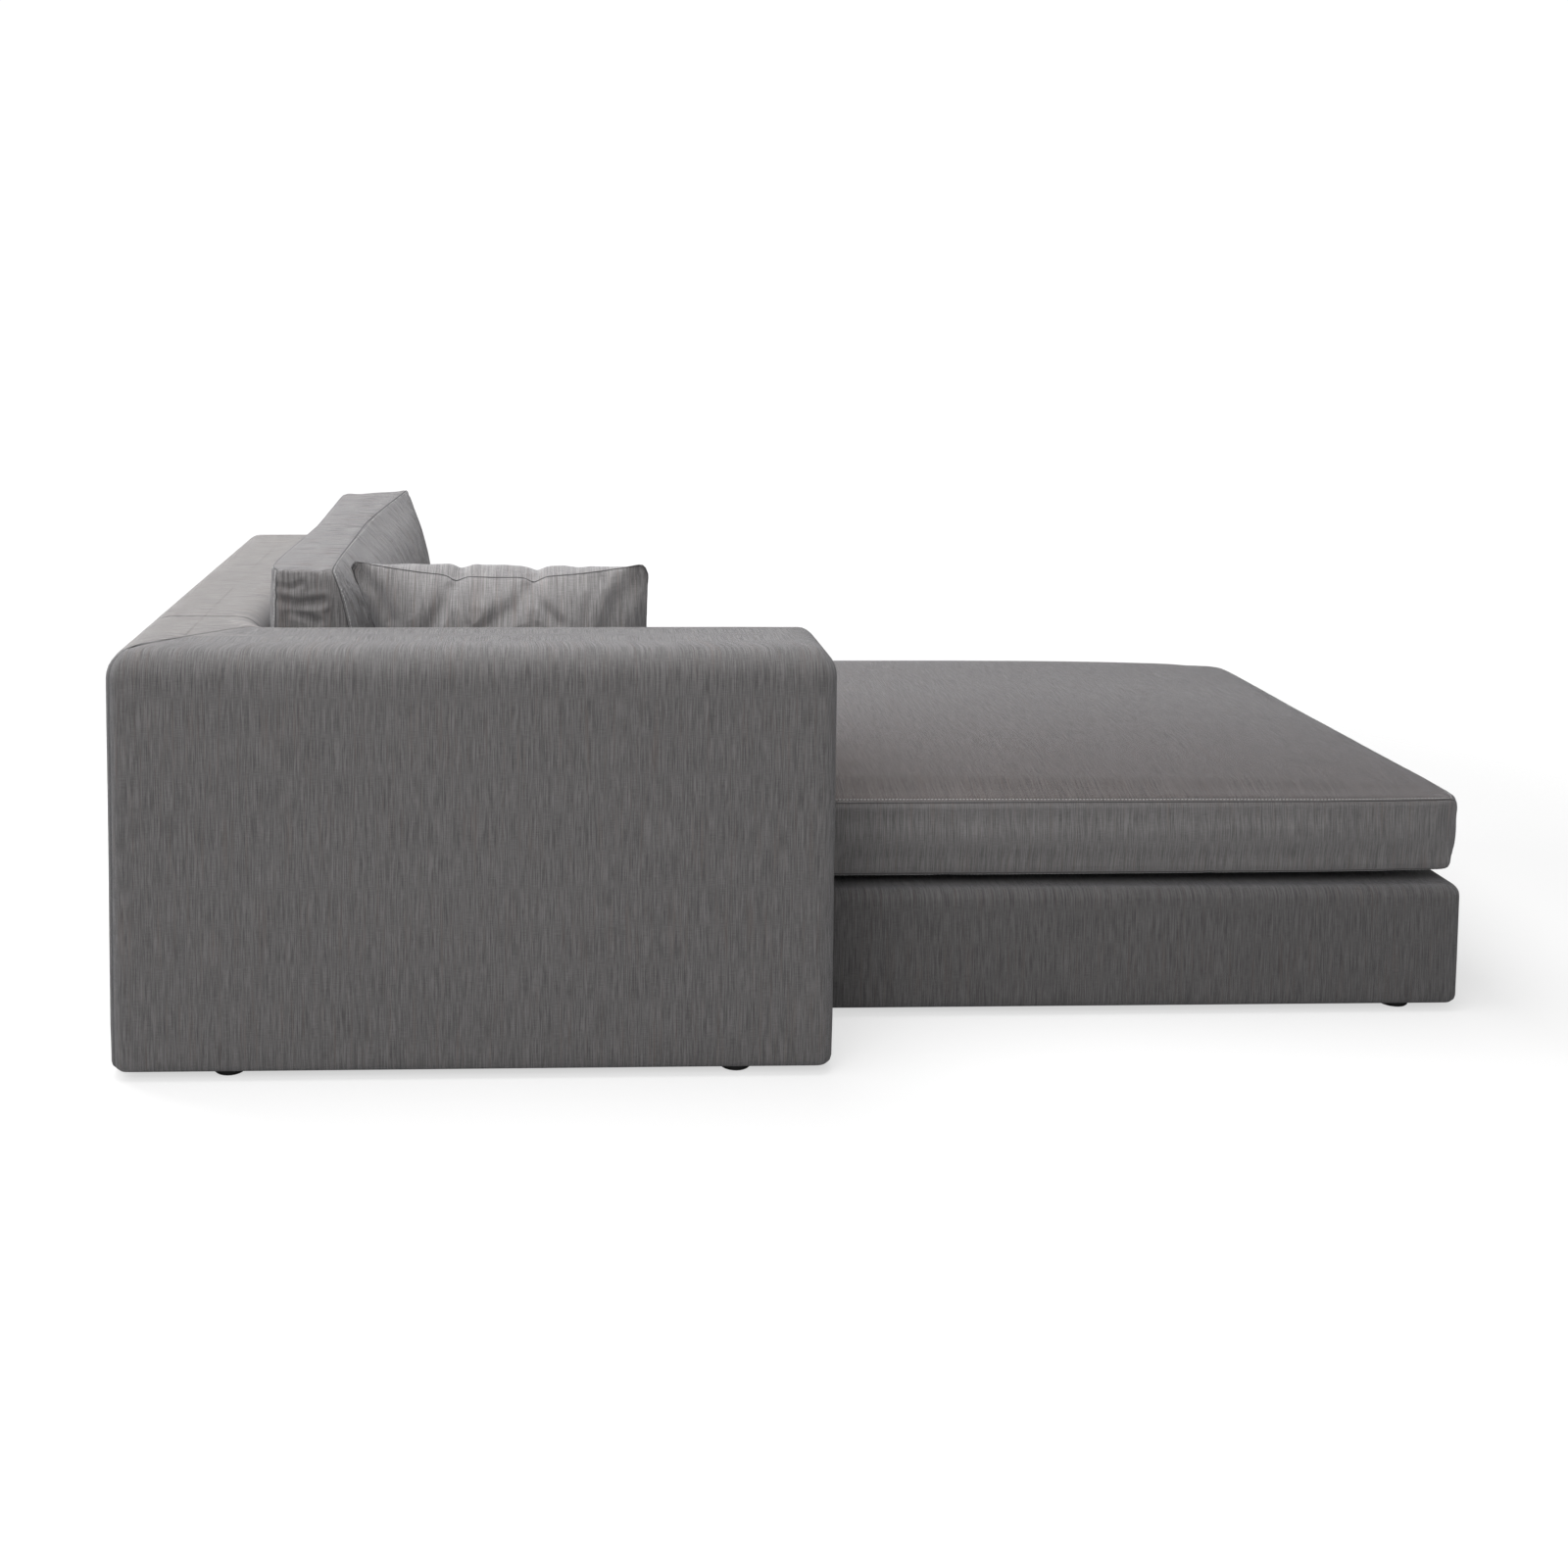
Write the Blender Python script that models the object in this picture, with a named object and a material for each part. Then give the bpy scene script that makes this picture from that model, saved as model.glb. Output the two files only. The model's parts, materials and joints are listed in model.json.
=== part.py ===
"""An upholstered daybed: an arm, a back that meets it in a mitred corner, a low base and three loose cushions.

Metres, +Z up. Seen from in front of the arm, X runs from the back at the head to the foot of the seat, and Y runs
from the arm to the open side. Every place below is measured from the outer corner where arm and back meet, at
floor level. The empty "daybed" carries that corner, so that the origin lies under the middle of the whole piece.
"""

import math

import bmesh
import bpy
from mathutils import Vector

# Overall sizes
OVERALL_LENGTH = 2.090
OVERALL_WIDTH = 1.200
ARM_HEIGHT = 0.630
ARM_LENGTH = 1.050
ARM_THICKNESS = 0.200
BACK_THICKNESS = 0.190
BASE_HEIGHT = 0.203
FLOOR_GAP = 0.012

# Gaps
SEAT_GAP = 0.0003  # between pieces that touch
MERGE_DISTANCE = 0.00001  # between points of one outline that are one point
OVERRUN = 0.004  # how far a cutter runs past what it cuts

# Upholstery of arm, back and base
COVER_THICKNESS = 0.002
COVER_LIP = 0.034  # how far a cover turns in under its unit
TOP_RADIUS = 0.044
CORNER_RADIUS = 0.030
INNER_CORNER_RADIUS = 0.050  # the hollow corner between arm and back
MITRE_STRAIGHT_SHARE = 0.8  # of the way to the hollow corner, where the mitre turns to pass it on the arm's side
CROSS_SEAM_FROM_ARM = 0.060  # from the arm's inner face to the seam across the back
HEM_RADIUS = 0.012
BASE_TOP_RADIUS = 0.018
SIDE_FOAM = 0.018
TOP_FOAM = 0.030
BASE_SIDE_FOAM = 0.016
DECK_FOAM = 0.020
TOP_ARC_STEPS = 5
CORNER_ARC_STEPS = 4
HEM_ARC_STEPS = 2
DUST_COVER_THICKNESS = 0.0010
DUST_COVER_MARGIN = 0.016  # from a unit's outer face to the edge of its dust cover

# Timber
PANEL_THICKNESS = 0.009
POST_WIDTH = 0.045
TOP_RAIL_DEPTH = 0.032
BOTTOM_RAIL_DEPTH = 0.045
BASE_RAIL_THICKNESS = 0.028
CROSS_RAIL_THICKNESS = 0.045
WEBBING_SAG_ROOM = 0.016
CORNER_BLOCK_LEG = 0.085
CORNER_BLOCK_HEIGHT = 0.070

# Webbing
WEB_WIDTH = 0.070
WEB_THICKNESS = 0.0022
WEBS_ACROSS = 6
WEBS_ALONG = 2
WEB_RAMP = 0.022  # the length in which a band climbs from under the next one to over it
WEB_END_SHARE = 0.7  # of the rail's thickness that a band's end covers

# Bolts
BOLT_RADIUS = 0.004
BOLT_HEAD_RADIUS = 0.009
BOLT_HEAD_HEIGHT = 0.0045
BOLT_SIDES = 10
BOLT_CLEARANCE = 0.0004
BOLT_RISE = 0.075  # above the underside of the rails
ARM_BOLT_FROM_HEAD = 0.210
ARM_BOLT_FROM_FOOT = 0.170
BACK_BOLT_INSET = 0.270
CORNER_BOLT_RISE = 0.330

# Glides
GLIDE_RADIUS = 0.0235
GLIDE_INSET = 0.020  # from a unit's outer face to the rim of the glide
GLIDE_RIM_RADIUS = 0.0015
GLIDE_SIDES = 24
ARM_GLIDE_HEAD_X = 0.168
ARM_GLIDE_FOOT_MARGIN = 0.140
FAR_GLIDE_MARGIN = 0.060
BASE_GLIDE_FOOT_MARGIN = 0.090
BASE_GLIDE_NEAR_INSET = 0.045

# Cushions
CUSHION_COVER_THICKNESS = 0.002
CUSHION_CORNER_PULL = 0.008
CUSHION_REST_GAP = 0.005  # between two crowned forms, one on the other
SEAT_CORNER_CLEARANCE = 0.003  # between the seat cushion and the hollow corner of arm and back
BACK_CORNER_CLEARANCE = 0.012  # between the back cushion and the same corner, which it doesn't fill
BOXING_STEPS = 3

# Seat cushion
SEAT_CUSHION_LOW_SEAM = 0.2255
SEAT_CUSHION_BOXING = 0.1175
SEAT_CUSHION_CROWN = 0.042
SEAT_CUSHION_SAG = 0.036  # the underside's own crown, pressed flat where it rests on the base
SEAT_CUSHION_BULGE = 0.005
SEAT_CUSHION_DRAW_IN = 0.004
SEAT_CUSHION_LOW_DRAW_IN = 0.006  # how much further the lower seam is drawn in
SEAT_CUSHION_HEAD_GAP = 0.006
SEAT_CUSHION_ARM_GAP = 0.004
SEAT_CUSHION_FOOT_MARGIN = 0.009
SEAT_CUSHION_FAR_MARGIN = 0.007
SEAT_CUSHION_CELLS = (16, 10)

# Back cushion
BACK_CUSHION_TOP = 0.717
BACK_CUSHION_TOP_BOXING = 0.085
BACK_CUSHION_LOW_BOXING = 0.150
BACK_CUSHION_TOP_LEAN = 0.025  # from the back's face to the upper rear seam
BACK_CUSHION_STAND_OFF = 0.006  # from the back's face to the lower part of the rear wall, where the zip lies
BACK_CUSHION_REAR_CROWN = 0.034
BACK_CUSHION_CROWN = 0.052
BACK_CUSHION_BULGE = 0.006
BACK_CUSHION_DRAW_IN = 0.010
BACK_CUSHION_TOP_SAG = 0.004
BACK_CUSHION_ARM_GAP = 0.010
BACK_CUSHION_FAR_MARGIN = 0.016
BACK_CUSHION_CELLS = (14, 8)

# Scatter cushion
SCATTER_TOP = 0.708
SCATTER_HEAD_TOP = 0.128  # from the back's inner face to the corner at the head, above
SCATTER_HEAD_LOW = 0.245  # and below, where the back cushion holds it off
SCATTER_FOOT_TOP = 0.602  # from the back's inner face to the corner at the foot, above
SCATTER_FOOT_LOW = 0.612
SCATTER_SEAM_TOP = 0.055  # from the arm's inner face to the seam along the top
SCATTER_SEAM_LOW = 0.120
SCATTER_HALF_DEPTH = 0.087
SCATTER_SIDE_DRAW_IN = 0.006
SCATTER_TOP_DRAW_IN = 0.020
SCATTER_SEAM_ALLOWANCE = 0.010
SCATTER_HEAD_CLEARANCE = 0.004  # from the back cushion
SCATTER_CELLS = (12, 8)
SCATTER_ZIP_SHARE = -0.80  # where the zip's lower edge is between the seams, of half the height

# Zips
ZIP_HEIGHT = 0.024
BACK_CUSHION_ZIP_RISE = 0.055  # from the seat cushion to the middle of the zip
ZIP_LENGTH_SHARE = 0.62  # of the side that the zip closes
ZIP_COIL_WIDTH = 0.005
ZIP_COIL_HEIGHT = 0.0009
SLIDER_LENGTH = 0.011
SLIDER_WIDTH = 0.009
SLIDER_HEIGHT = 0.0022
PULL_LENGTH = 0.026
PULL_WIDTH = 0.006
PULL_THICKNESS = 0.0012
TAPE_RECESS = 0.0004  # of the scatter cushion's tape, below its cover

# Curves of a stuffed form: exponents and shares without a unit
CROWN_EDGE_POWER = 3.0
CROWN_ROUND_POWER = 0.55
SCATTER_EDGE_POWER = 2.4
SCATTER_ROUND_POWER = 0.75
CORNER_PULL_POWER = 8
TAPER_POWER = 2.5

# Heights and faces that several pieces share
UNIT_UNDERSIDE = FLOOR_GAP + COVER_THICKNESS + SEAT_GAP
FOAM_INSET = COVER_THICKNESS + SEAT_GAP
FRAME_INSET = FOAM_INSET + SIDE_FOAM + SEAT_GAP
BASE_FRAME_INSET = FOAM_INSET + BASE_SIDE_FOAM + SEAT_GAP
FRAME_TOP = ARM_HEIGHT - FOAM_INSET - TOP_FOAM - SEAT_GAP
DECK_FOAM_UNDERSIDE = BASE_HEIGHT - FOAM_INSET - DECK_FOAM
WEB_LEVEL_STEP = (WEB_THICKNESS + SEAT_GAP) / 2
WEB_MIDDLE = DECK_FOAM_UNDERSIDE - SEAT_GAP - WEB_THICKNESS / 2 - WEB_LEVEL_STEP
BASE_RAIL_TOP = WEB_MIDDLE - WEB_THICKNESS / 2 - SEAT_GAP
BACK_FRAME_START = ARM_THICKNESS - FRAME_INSET + SEAT_GAP
BASE_HEAD = BACK_THICKNESS + SEAT_GAP
BASE_NEAR = ARM_THICKNESS + SEAT_GAP
FRAME_HEAD = BASE_HEAD + BASE_FRAME_INSET
FRAME_FOOT = OVERALL_LENGTH - BASE_FRAME_INSET
FRAME_NEAR = BASE_NEAR + BASE_FRAME_INSET
FRAME_FAR = OVERALL_WIDTH - BASE_FRAME_INSET
SEAT_CUSHION_TOP_SEAM = SEAT_CUSHION_LOW_SEAM + SEAT_CUSHION_BOXING


def clear_scene():
    for thing in list(bpy.data.objects):
        bpy.data.objects.remove(thing)


def make_material(name, colour, roughness, metallic=0.0):
    material = bpy.data.materials.new(name)
    material.use_nodes = True
    shader = material.node_tree.nodes["Principled BSDF"]
    shader.inputs["Base Color"].default_value = (*colour, 1.0)
    shader.inputs["Roughness"].default_value = roughness
    shader.inputs["Metallic"].default_value = metallic
    material.diffuse_color = (*colour, 1.0)
    return material


clear_scene()
FABRIC = make_material("grey_fabric", (0.135, 0.128, 0.126), 0.75)
LINING = make_material("black_lining", (0.02, 0.02, 0.022), 0.95)
FOAM = make_material("cream_foam", (0.78, 0.72, 0.52), 0.95)
TIMBER = make_material("pale_timber", (0.52, 0.36, 0.2), 0.6)
PLYWOOD = make_material("plywood", (0.6, 0.44, 0.27), 0.6)
WEBBING = make_material("elastic_webbing", (0.3, 0.26, 0.2), 0.85)
PLASTIC = make_material("black_plastic", (0.015, 0.015, 0.016), 0.45)
STEEL = make_material("zinc_steel", (0.6, 0.6, 0.6), 0.35, 1.0)
ZIP_TAPE = make_material("zip_tape", (0.06, 0.06, 0.062), 0.8)

ORIGIN = bpy.data.objects.new("daybed", None)
ORIGIN.location = (-OVERALL_LENGTH / 2, -OVERALL_WIDTH / 2, 0)
bpy.context.scene.collection.objects.link(ORIGIN)


def add_object(name, mesh, material, parent=ORIGIN, location=(0, 0, 0)):
    thing = bpy.data.objects.new(name, mesh)
    bpy.context.scene.collection.objects.link(thing)
    thing.parent = parent
    thing.location = location
    if material:
        mesh.materials.append(material)
    return thing


def mesh_from(name, points, faces):
    """A mesh of these points and faces, with points that coincide made one and the faces turned outwards."""
    mesh = bpy.data.meshes.new(name)
    mesh.from_pydata([Vector(p) for p in points], [], faces)
    bm = bmesh.new()
    bm.from_mesh(mesh)
    bmesh.ops.remove_doubles(bm, verts=bm.verts, dist=MERGE_DISTANCE)
    bmesh.ops.recalc_face_normals(bm, faces=bm.faces)
    bm.to_mesh(mesh)
    bm.free()
    return mesh


def smooth(thing, degrees=40):
    thing.data.shade_smooth()
    thing.data.set_sharp_from_angle(angle=math.radians(degrees))
    return thing


def make_box(name, low, high, material):
    """A rectangular member between two corners."""
    mesh = bpy.data.meshes.new(name)
    bm = bmesh.new()
    bmesh.ops.create_cube(bm, size=1)
    for vert in bm.verts:
        vert.co = [low[k] if vert.co[k] < 0 else high[k] for k in range(3)]
    bm.to_mesh(mesh)
    bm.free()
    return add_object(name, mesh, material)


def cut(thing, cutter):
    """Takes the cutter away from the thing, and keeps the cutter as a wire."""
    modifier = thing.modifiers.new("cut " + cutter.name, "BOOLEAN")
    modifier.operation = "DIFFERENCE"
    modifier.solver = "EXACT"
    modifier.object = cutter
    cutter.hide_render = True
    cutter.display_type = "WIRE"


# A plan is a list of corners, taken anticlockwise: (x, y, radius). A radius below zero belongs to a hollow corner.


def plan_ring(plan, inset):
    """The plan's outline, drawn in by inset, with its corners round."""
    points = []
    for index, (x, y, radius) in enumerate(plan):
        before, after = plan[index - 1], plan[(index + 1) % len(plan)]
        arriving = Vector((x - before[0], y - before[1])).normalized()
        leaving = Vector((after[0] - x, after[1] - y)).normalized()
        inward_first = Vector((-arriving.y, arriving.x))
        inward_second = Vector((-leaving.y, leaving.x))
        if radius < 0:
            reach, arc, outward = radius, inset - radius, 1
        else:
            reach, arc, outward = max(radius, inset), max(radius - inset, 0.0), -1
        centre = Vector((x, y)) + reach * (inward_first + inward_second)
        for step in range(CORNER_ARC_STEPS + 1):
            angle = math.pi / 2 * step / CORNER_ARC_STEPS
            toward = inward_first * math.cos(angle) + inward_second * math.sin(angle)
            points.append(centre + outward * arc * toward)
    return points


def loft(name, rings, material, parent=ORIGIN):
    """A closed solid through rings of equally many points, with a face over the first ring and over the last."""
    points = [point for ring in rings for point in ring]
    count = len(rings[0])
    faces = [list(range(count)), list(range(len(points) - count, len(points)))]
    for level in range(len(rings) - 1):
        for k in range(count):
            after = (k + 1) % count
            faces.append(
                [level * count + k, level * count + after, (level + 1) * count + after, (level + 1) * count + k]
            )
    return smooth(add_object(name, mesh_from(name, points, faces), material, parent))


def side_rings(plan, inset, low, high, hem_radius, top_radius):
    """The rings of a padded wall from its hem to its flat top, drawn in by inset."""
    rings = []
    hem = max(hem_radius - inset, 0.0)
    top = max(top_radius - inset, inset)
    for step in range(HEM_ARC_STEPS + 1):
        angle = math.pi / 2 * step / HEM_ARC_STEPS
        height = low + hem * (1 - math.cos(angle))
        rings.append([(*p, height) for p in plan_ring(plan, inset + hem * (1 - math.sin(angle)))])
    for step in range(TOP_ARC_STEPS + 1):
        angle = math.pi / 2 * step / TOP_ARC_STEPS
        height = high - top * (1 - math.sin(angle))
        rings.append([(*p, height) for p in plan_ring(plan, inset + top * (1 - math.cos(angle)))])
    return rings


def make_cover(name, plan, high, top_radius):
    """A fabric cover: walls and top in one skin, turned in under the unit as a lip and open inside it."""
    low = FLOOR_GAP
    thickness = COVER_THICKNESS
    outside = side_rings(plan, 0, low, high, HEM_RADIUS, top_radius)
    inside = side_rings(plan, thickness, low + thickness, high - thickness, HEM_RADIUS, top_radius)
    lip = plan_ring(plan, COVER_LIP)
    under = [(*p, low) for p in lip]
    over = [(*p, low + thickness) for p in lip]
    return loft(name, [*reversed(outside), under, over, *inside], FABRIC)


def make_foam(name, plan, hollow_plan, high, top_radius, side_foam, inner_high):
    """Foam over a frame: walls and top, open below."""
    outside = side_rings(plan, FOAM_INSET, UNIT_UNDERSIDE, high - FOAM_INSET, HEM_RADIUS, top_radius)
    hollow = plan_ring(hollow_plan, FOAM_INSET + side_foam)
    foot = [(*p, UNIT_UNDERSIDE) for p in hollow]
    roof = [(*p, inner_high) for p in hollow]
    return loft(name, [*reversed(outside), foot, roof], FOAM)


def make_prism(name, outline, low, high, material):
    return loft(name, [[(*p, low) for p in outline], [(*p, high) for p in outline]], material)


def wall_plan(corner_radius):
    """Arm and back in one outline, with the hollow corner between them."""
    return [
        (0.0, 0.0, corner_radius),
        (ARM_LENGTH, 0.0, corner_radius),
        (ARM_LENGTH, ARM_THICKNESS, corner_radius),
        (BACK_THICKNESS, ARM_THICKNESS, -INNER_CORNER_RADIUS),
        (BACK_THICKNESS, OVERALL_WIDTH, corner_radius),
        (0.0, OVERALL_WIDTH, corner_radius),
    ]


def base_plan(corner_radius):
    """The base, with one corner that follows the hollow corner of arm and back."""
    return [
        (BASE_HEAD, BASE_NEAR, INNER_CORNER_RADIUS),
        (OVERALL_LENGTH, BASE_NEAR, corner_radius),
        (OVERALL_LENGTH, OVERALL_WIDTH, corner_radius),
        (BASE_HEAD, OVERALL_WIDTH, corner_radius),
    ]


def make_skin_cutters():
    """Prisms that part the skin of arm and back along the mitre and along the cross seam, with a gap in each."""
    corner = Vector((BACK_THICKNESS, ARM_THICKNESS))
    turn = corner * MITRE_STRAIGHT_SHARE
    end = corner + Vector((INNER_CORNER_RADIUS + OVERRUN, 0))
    apart = Vector((-1, 1)) * (SEAT_GAP / 2)
    low_x, low_y = -corner / 2
    high_x, high_y = ARM_LENGTH + OVERRUN, OVERALL_WIDTH + OVERRUN
    mitre = [-corner / 2, turn, end]
    from_arm = [p - apart for p in mitre]
    from_back = [p + apart for p in mitre]
    hollow_y = corner.y + INNER_CORNER_RADIUS
    cross_y = corner.y + CROSS_SEAM_FROM_ARM
    before_y, after_y = cross_y + SEAT_GAP / 2, cross_y - SEAT_GAP / 2
    outlines = {
        "back_side": [*from_arm, (from_arm[-1].x, high_y), (low_x, high_y)],
        "arm_side": [*from_back, (from_back[-1].x, hollow_y), (high_x, hollow_y), (high_x, low_y)],
        "before_cross_seam": [(low_x, low_y), (high_x, low_y), (high_x, before_y), (low_x, before_y)],
        "beyond_cross_seam": [(low_x, after_y), (high_x, after_y), (high_x, high_y), (low_x, high_y)],
    }
    low, high = FLOOR_GAP - OVERRUN, ARM_HEIGHT + OVERRUN
    return {name: make_prism("cutter_" + name, outline, low, high, None) for name, outline in outlines.items()}


def make_upholstery():
    """Covers, foam and dust covers of arm, back and base."""
    made = {}
    cutters = make_skin_cutters()
    for name, others in (
        ("arm_cover", ("back_side",)),
        ("corner_cover", ("arm_side", "beyond_cross_seam")),
        ("back_cover", ("before_cross_seam",)),
    ):
        made[name] = make_cover(name, wall_plan(CORNER_RADIUS), ARM_HEIGHT, TOP_RADIUS)
        for other in others:
            cut(made[name], cutters[other])
    for name, other in (("arm_foam", "back_side"), ("back_foam", "arm_side")):
        made[name] = make_foam(
            name,
            wall_plan(CORNER_RADIUS),
            wall_plan(0.0),
            ARM_HEIGHT,
            TOP_RADIUS,
            SIDE_FOAM,
            FRAME_TOP + SEAT_GAP,
        )
        cut(made[name], cutters[other])
    made["base_cover"] = make_cover("base_cover", base_plan(CORNER_RADIUS), BASE_HEIGHT, BASE_TOP_RADIUS)
    made["base_foam"] = make_foam(
        "base_foam",
        base_plan(CORNER_RADIUS),
        base_plan(0.0),
        BASE_HEIGHT,
        BASE_TOP_RADIUS,
        BASE_SIDE_FOAM,
        DECK_FOAM_UNDERSIDE,
    )
    top = FLOOR_GAP - SEAT_GAP
    for name, plan in (("arm_back", wall_plan(CORNER_RADIUS)), ("base", base_plan(CORNER_RADIUS))):
        outline = plan_ring(plan, DUST_COVER_MARGIN)
        make_prism(name + "_dust_cover", outline, top - DUST_COVER_THICKNESS, top, LINING)
    return made


def make_wall_frame(unit, low, high, across, post_names):
    """Rails, posts and panels of arm or back. low and high are the frame's corners, and across is the axis of its
    thickness."""
    along = 1 - across
    made = {}

    def member(name, along_range, across_range, height_range, material):
        corner_low = [0.0, 0.0, height_range[0]]
        corner_high = [0.0, 0.0, height_range[1]]
        corner_low[along], corner_high[along] = along_range
        corner_low[across], corner_high[across] = across_range
        made[name] = make_box(name, corner_low, corner_high, material)

    bottom, top = UNIT_UNDERSIDE, FRAME_TOP
    whole = (low[along], high[along])
    outer = (low[across], low[across] + PANEL_THICKNESS)
    inner = (high[across] - PANEL_THICKNESS, high[across])
    core = (outer[1] + SEAT_GAP, inner[0] - SEAT_GAP)
    member(unit + "_panel_outer", whole, outer, (bottom, top), PLYWOOD)
    member(unit + "_panel_inner", whole, inner, (bottom, top), PLYWOOD)
    member(unit + "_bottom_rail", whole, core, (bottom, bottom + BOTTOM_RAIL_DEPTH), TIMBER)
    member(unit + "_top_rail", whole, core, (top - TOP_RAIL_DEPTH, top), TIMBER)
    post = (bottom + BOTTOM_RAIL_DEPTH + SEAT_GAP, top - TOP_RAIL_DEPTH - SEAT_GAP)
    member(unit + post_names[0], (whole[0], whole[0] + POST_WIDTH), core, post, TIMBER)
    member(unit + post_names[1], (whole[1] - POST_WIDTH, whole[1]), core, post, TIMBER)
    return made


def make_wall_frames():
    arm = make_wall_frame(
        "arm",
        (FRAME_INSET, FRAME_INSET),
        (ARM_LENGTH - FRAME_INSET, ARM_THICKNESS - FRAME_INSET),
        1,
        ("_post_head", "_post_foot"),
    )
    back = make_wall_frame(
        "back",
        (FRAME_INSET, BACK_FRAME_START),
        (BACK_THICKNESS - FRAME_INSET, OVERALL_WIDTH - FRAME_INSET),
        0,
        ("_post_near", "_post_far"),
    )
    return {**arm, **back}


def make_base_frame():
    """Rails, the middle cross rail and the corner blocks. Two rails are cut off at the base's round corner."""
    bottom, top = UNIT_UNDERSIDE, BASE_RAIL_TOP
    thick = BASE_RAIL_THICKNESS
    head, foot, near, far = FRAME_HEAD, FRAME_FOOT, FRAME_NEAR, FRAME_FAR
    inner_near, inner_far = near + thick + SEAT_GAP, far - thick - SEAT_GAP
    inner_head, inner_foot = head + thick + SEAT_GAP, foot - thick - SEAT_GAP
    corner = INNER_CORNER_RADIUS
    near_rail = [(head + corner, near), (foot, near), (foot, near + thick), (head + corner - thick, near + thick)]
    head_rail = [
        (head + corner - (inner_near - near), inner_near),
        (head + thick, inner_near),
        (head + thick, inner_far),
        (head, inner_far),
        (head, near + corner),
    ]
    made = {
        "base_side_rail_near": make_prism("base_side_rail_near", near_rail, bottom, top, TIMBER),
        "base_end_rail_head": make_prism("base_end_rail_head", head_rail, bottom, top, TIMBER),
    }
    make_box("base_side_rail_far", (head, far - thick, bottom), (foot, far, top), TIMBER)
    make_box("base_end_rail_foot", (foot - thick, inner_near, bottom), (foot, inner_far, top), TIMBER)
    middle = (head + foot) / 2
    make_box(
        "base_cross_rail",
        (middle - CROSS_RAIL_THICKNESS / 2, inner_near, bottom),
        (middle + CROSS_RAIL_THICKNESS / 2, inner_far, top - WEBBING_SAG_ROOM),
        TIMBER,
    )
    leg = CORNER_BLOCK_LEG
    for name, x, y, toward_x, toward_y in (
        ("base_corner_block_head_near", inner_head, inner_near, 1, 1),
        ("base_corner_block_head_far", inner_head, inner_far, 1, -1),
        ("base_corner_block_foot_near", inner_foot, inner_near, -1, 1),
        ("base_corner_block_foot_far", inner_foot, inner_far, -1, -1),
    ):
        outline = [(x, y), (x + toward_x * leg, y), (x, y + toward_y * leg)]
        make_prism(name, outline, bottom, bottom + CORNER_BLOCK_HEIGHT, TIMBER)
    return made


def make_web(name, along, start, end, side, crossings, first_over):
    """A band of webbing from start to end along an axis, over one crossing band and under the next."""
    stops = [(start, 0)]
    over = first_over
    for place in crossings:
        level = 1 if over else -1
        stops.append((place - WEB_WIDTH / 2 - WEB_RAMP, 0))
        stops.append((place - WEB_WIDTH / 2 - SEAT_GAP, level))
        stops.append((place + WEB_WIDTH / 2 + SEAT_GAP, level))
        stops.append((place + WEB_WIDTH / 2 + WEB_RAMP, 0))
        over = not over
    stops.append((end, 0))
    rings = []
    for place, level in stops:
        height = WEB_MIDDLE + level * WEB_LEVEL_STEP
        ring = []
        for edge, face in ((-1, -1), (1, -1), (1, 1), (-1, 1)):
            point = [0.0, 0.0, height + face * WEB_THICKNESS / 2]
            point[along] = place
            point[1 - along] = side + edge * WEB_WIDTH / 2
            ring.append(point)
        rings.append(ring)
    return loft(name, rings, WEBBING)


def make_webbing():
    """Bands stretched over the rails, woven through each other."""
    cover = BASE_RAIL_THICKNESS * WEB_END_SHARE
    first_x, last_x = FRAME_HEAD + BASE_RAIL_THICKNESS, FRAME_FOOT - BASE_RAIL_THICKNESS
    first_y, last_y = FRAME_NEAR + BASE_RAIL_THICKNESS, FRAME_FAR - BASE_RAIL_THICKNESS
    across = [first_x + (last_x - first_x) * (k + 0.5) / WEBS_ACROSS for k in range(WEBS_ACROSS)]
    along = [first_y + (last_y - first_y) * (k + 0.5) / WEBS_ALONG for k in range(WEBS_ALONG)]
    for k, x in enumerate(across):
        make_web(f"web_across_{k + 1}", 1, first_y - cover, last_y + cover, x, along, k % 2 == 0)
    for k, y in enumerate(along):
        make_web(f"web_along_{k + 1}", 0, first_x - cover, last_x + cover, y, across, k % 2 == 1)


def turned(name, profile, sides, material, location, axis):
    """A turned piece: a profile of (radius, distance along the axis), closed on the axis at both ends."""
    rings = []
    for radius, height in profile:
        ring = []
        for k in range(sides):
            angle = 2 * math.pi * k / sides
            flat = (radius * math.cos(angle), radius * math.sin(angle))
            point = {0: (height, *flat), 1: (flat[1], height, flat[0]), 2: (*flat, height)}[axis]
            ring.append(tuple(place + part for place, part in zip(location, point)))
        rings.append(ring)
    return loft(name, rings, material)


def make_bolt(name, location, axis, inside, outside, walls):
    """A bolt with a head at each end, from inside one unit to inside the other, and its holes in the walls between."""
    shank = BOLT_RADIUS
    profile = [
        (BOLT_HEAD_RADIUS, inside - SEAT_GAP - BOLT_HEAD_HEIGHT),
        (BOLT_HEAD_RADIUS, inside - SEAT_GAP),
        (shank, inside - SEAT_GAP),
        (shank, outside + SEAT_GAP),
        (BOLT_HEAD_RADIUS, outside + SEAT_GAP),
        (BOLT_HEAD_RADIUS, outside + SEAT_GAP + BOLT_HEAD_HEIGHT),
    ]
    turned(name, profile, BOLT_SIDES, STEEL, location, axis)
    bore = [(shank + BOLT_CLEARANCE, inside - OVERRUN), (shank + BOLT_CLEARANCE, outside + OVERRUN)]
    cutter = turned(name + "_hole", bore, BOLT_SIDES, None, location, axis)
    for wall in walls:
        cut(wall, cutter)


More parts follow.
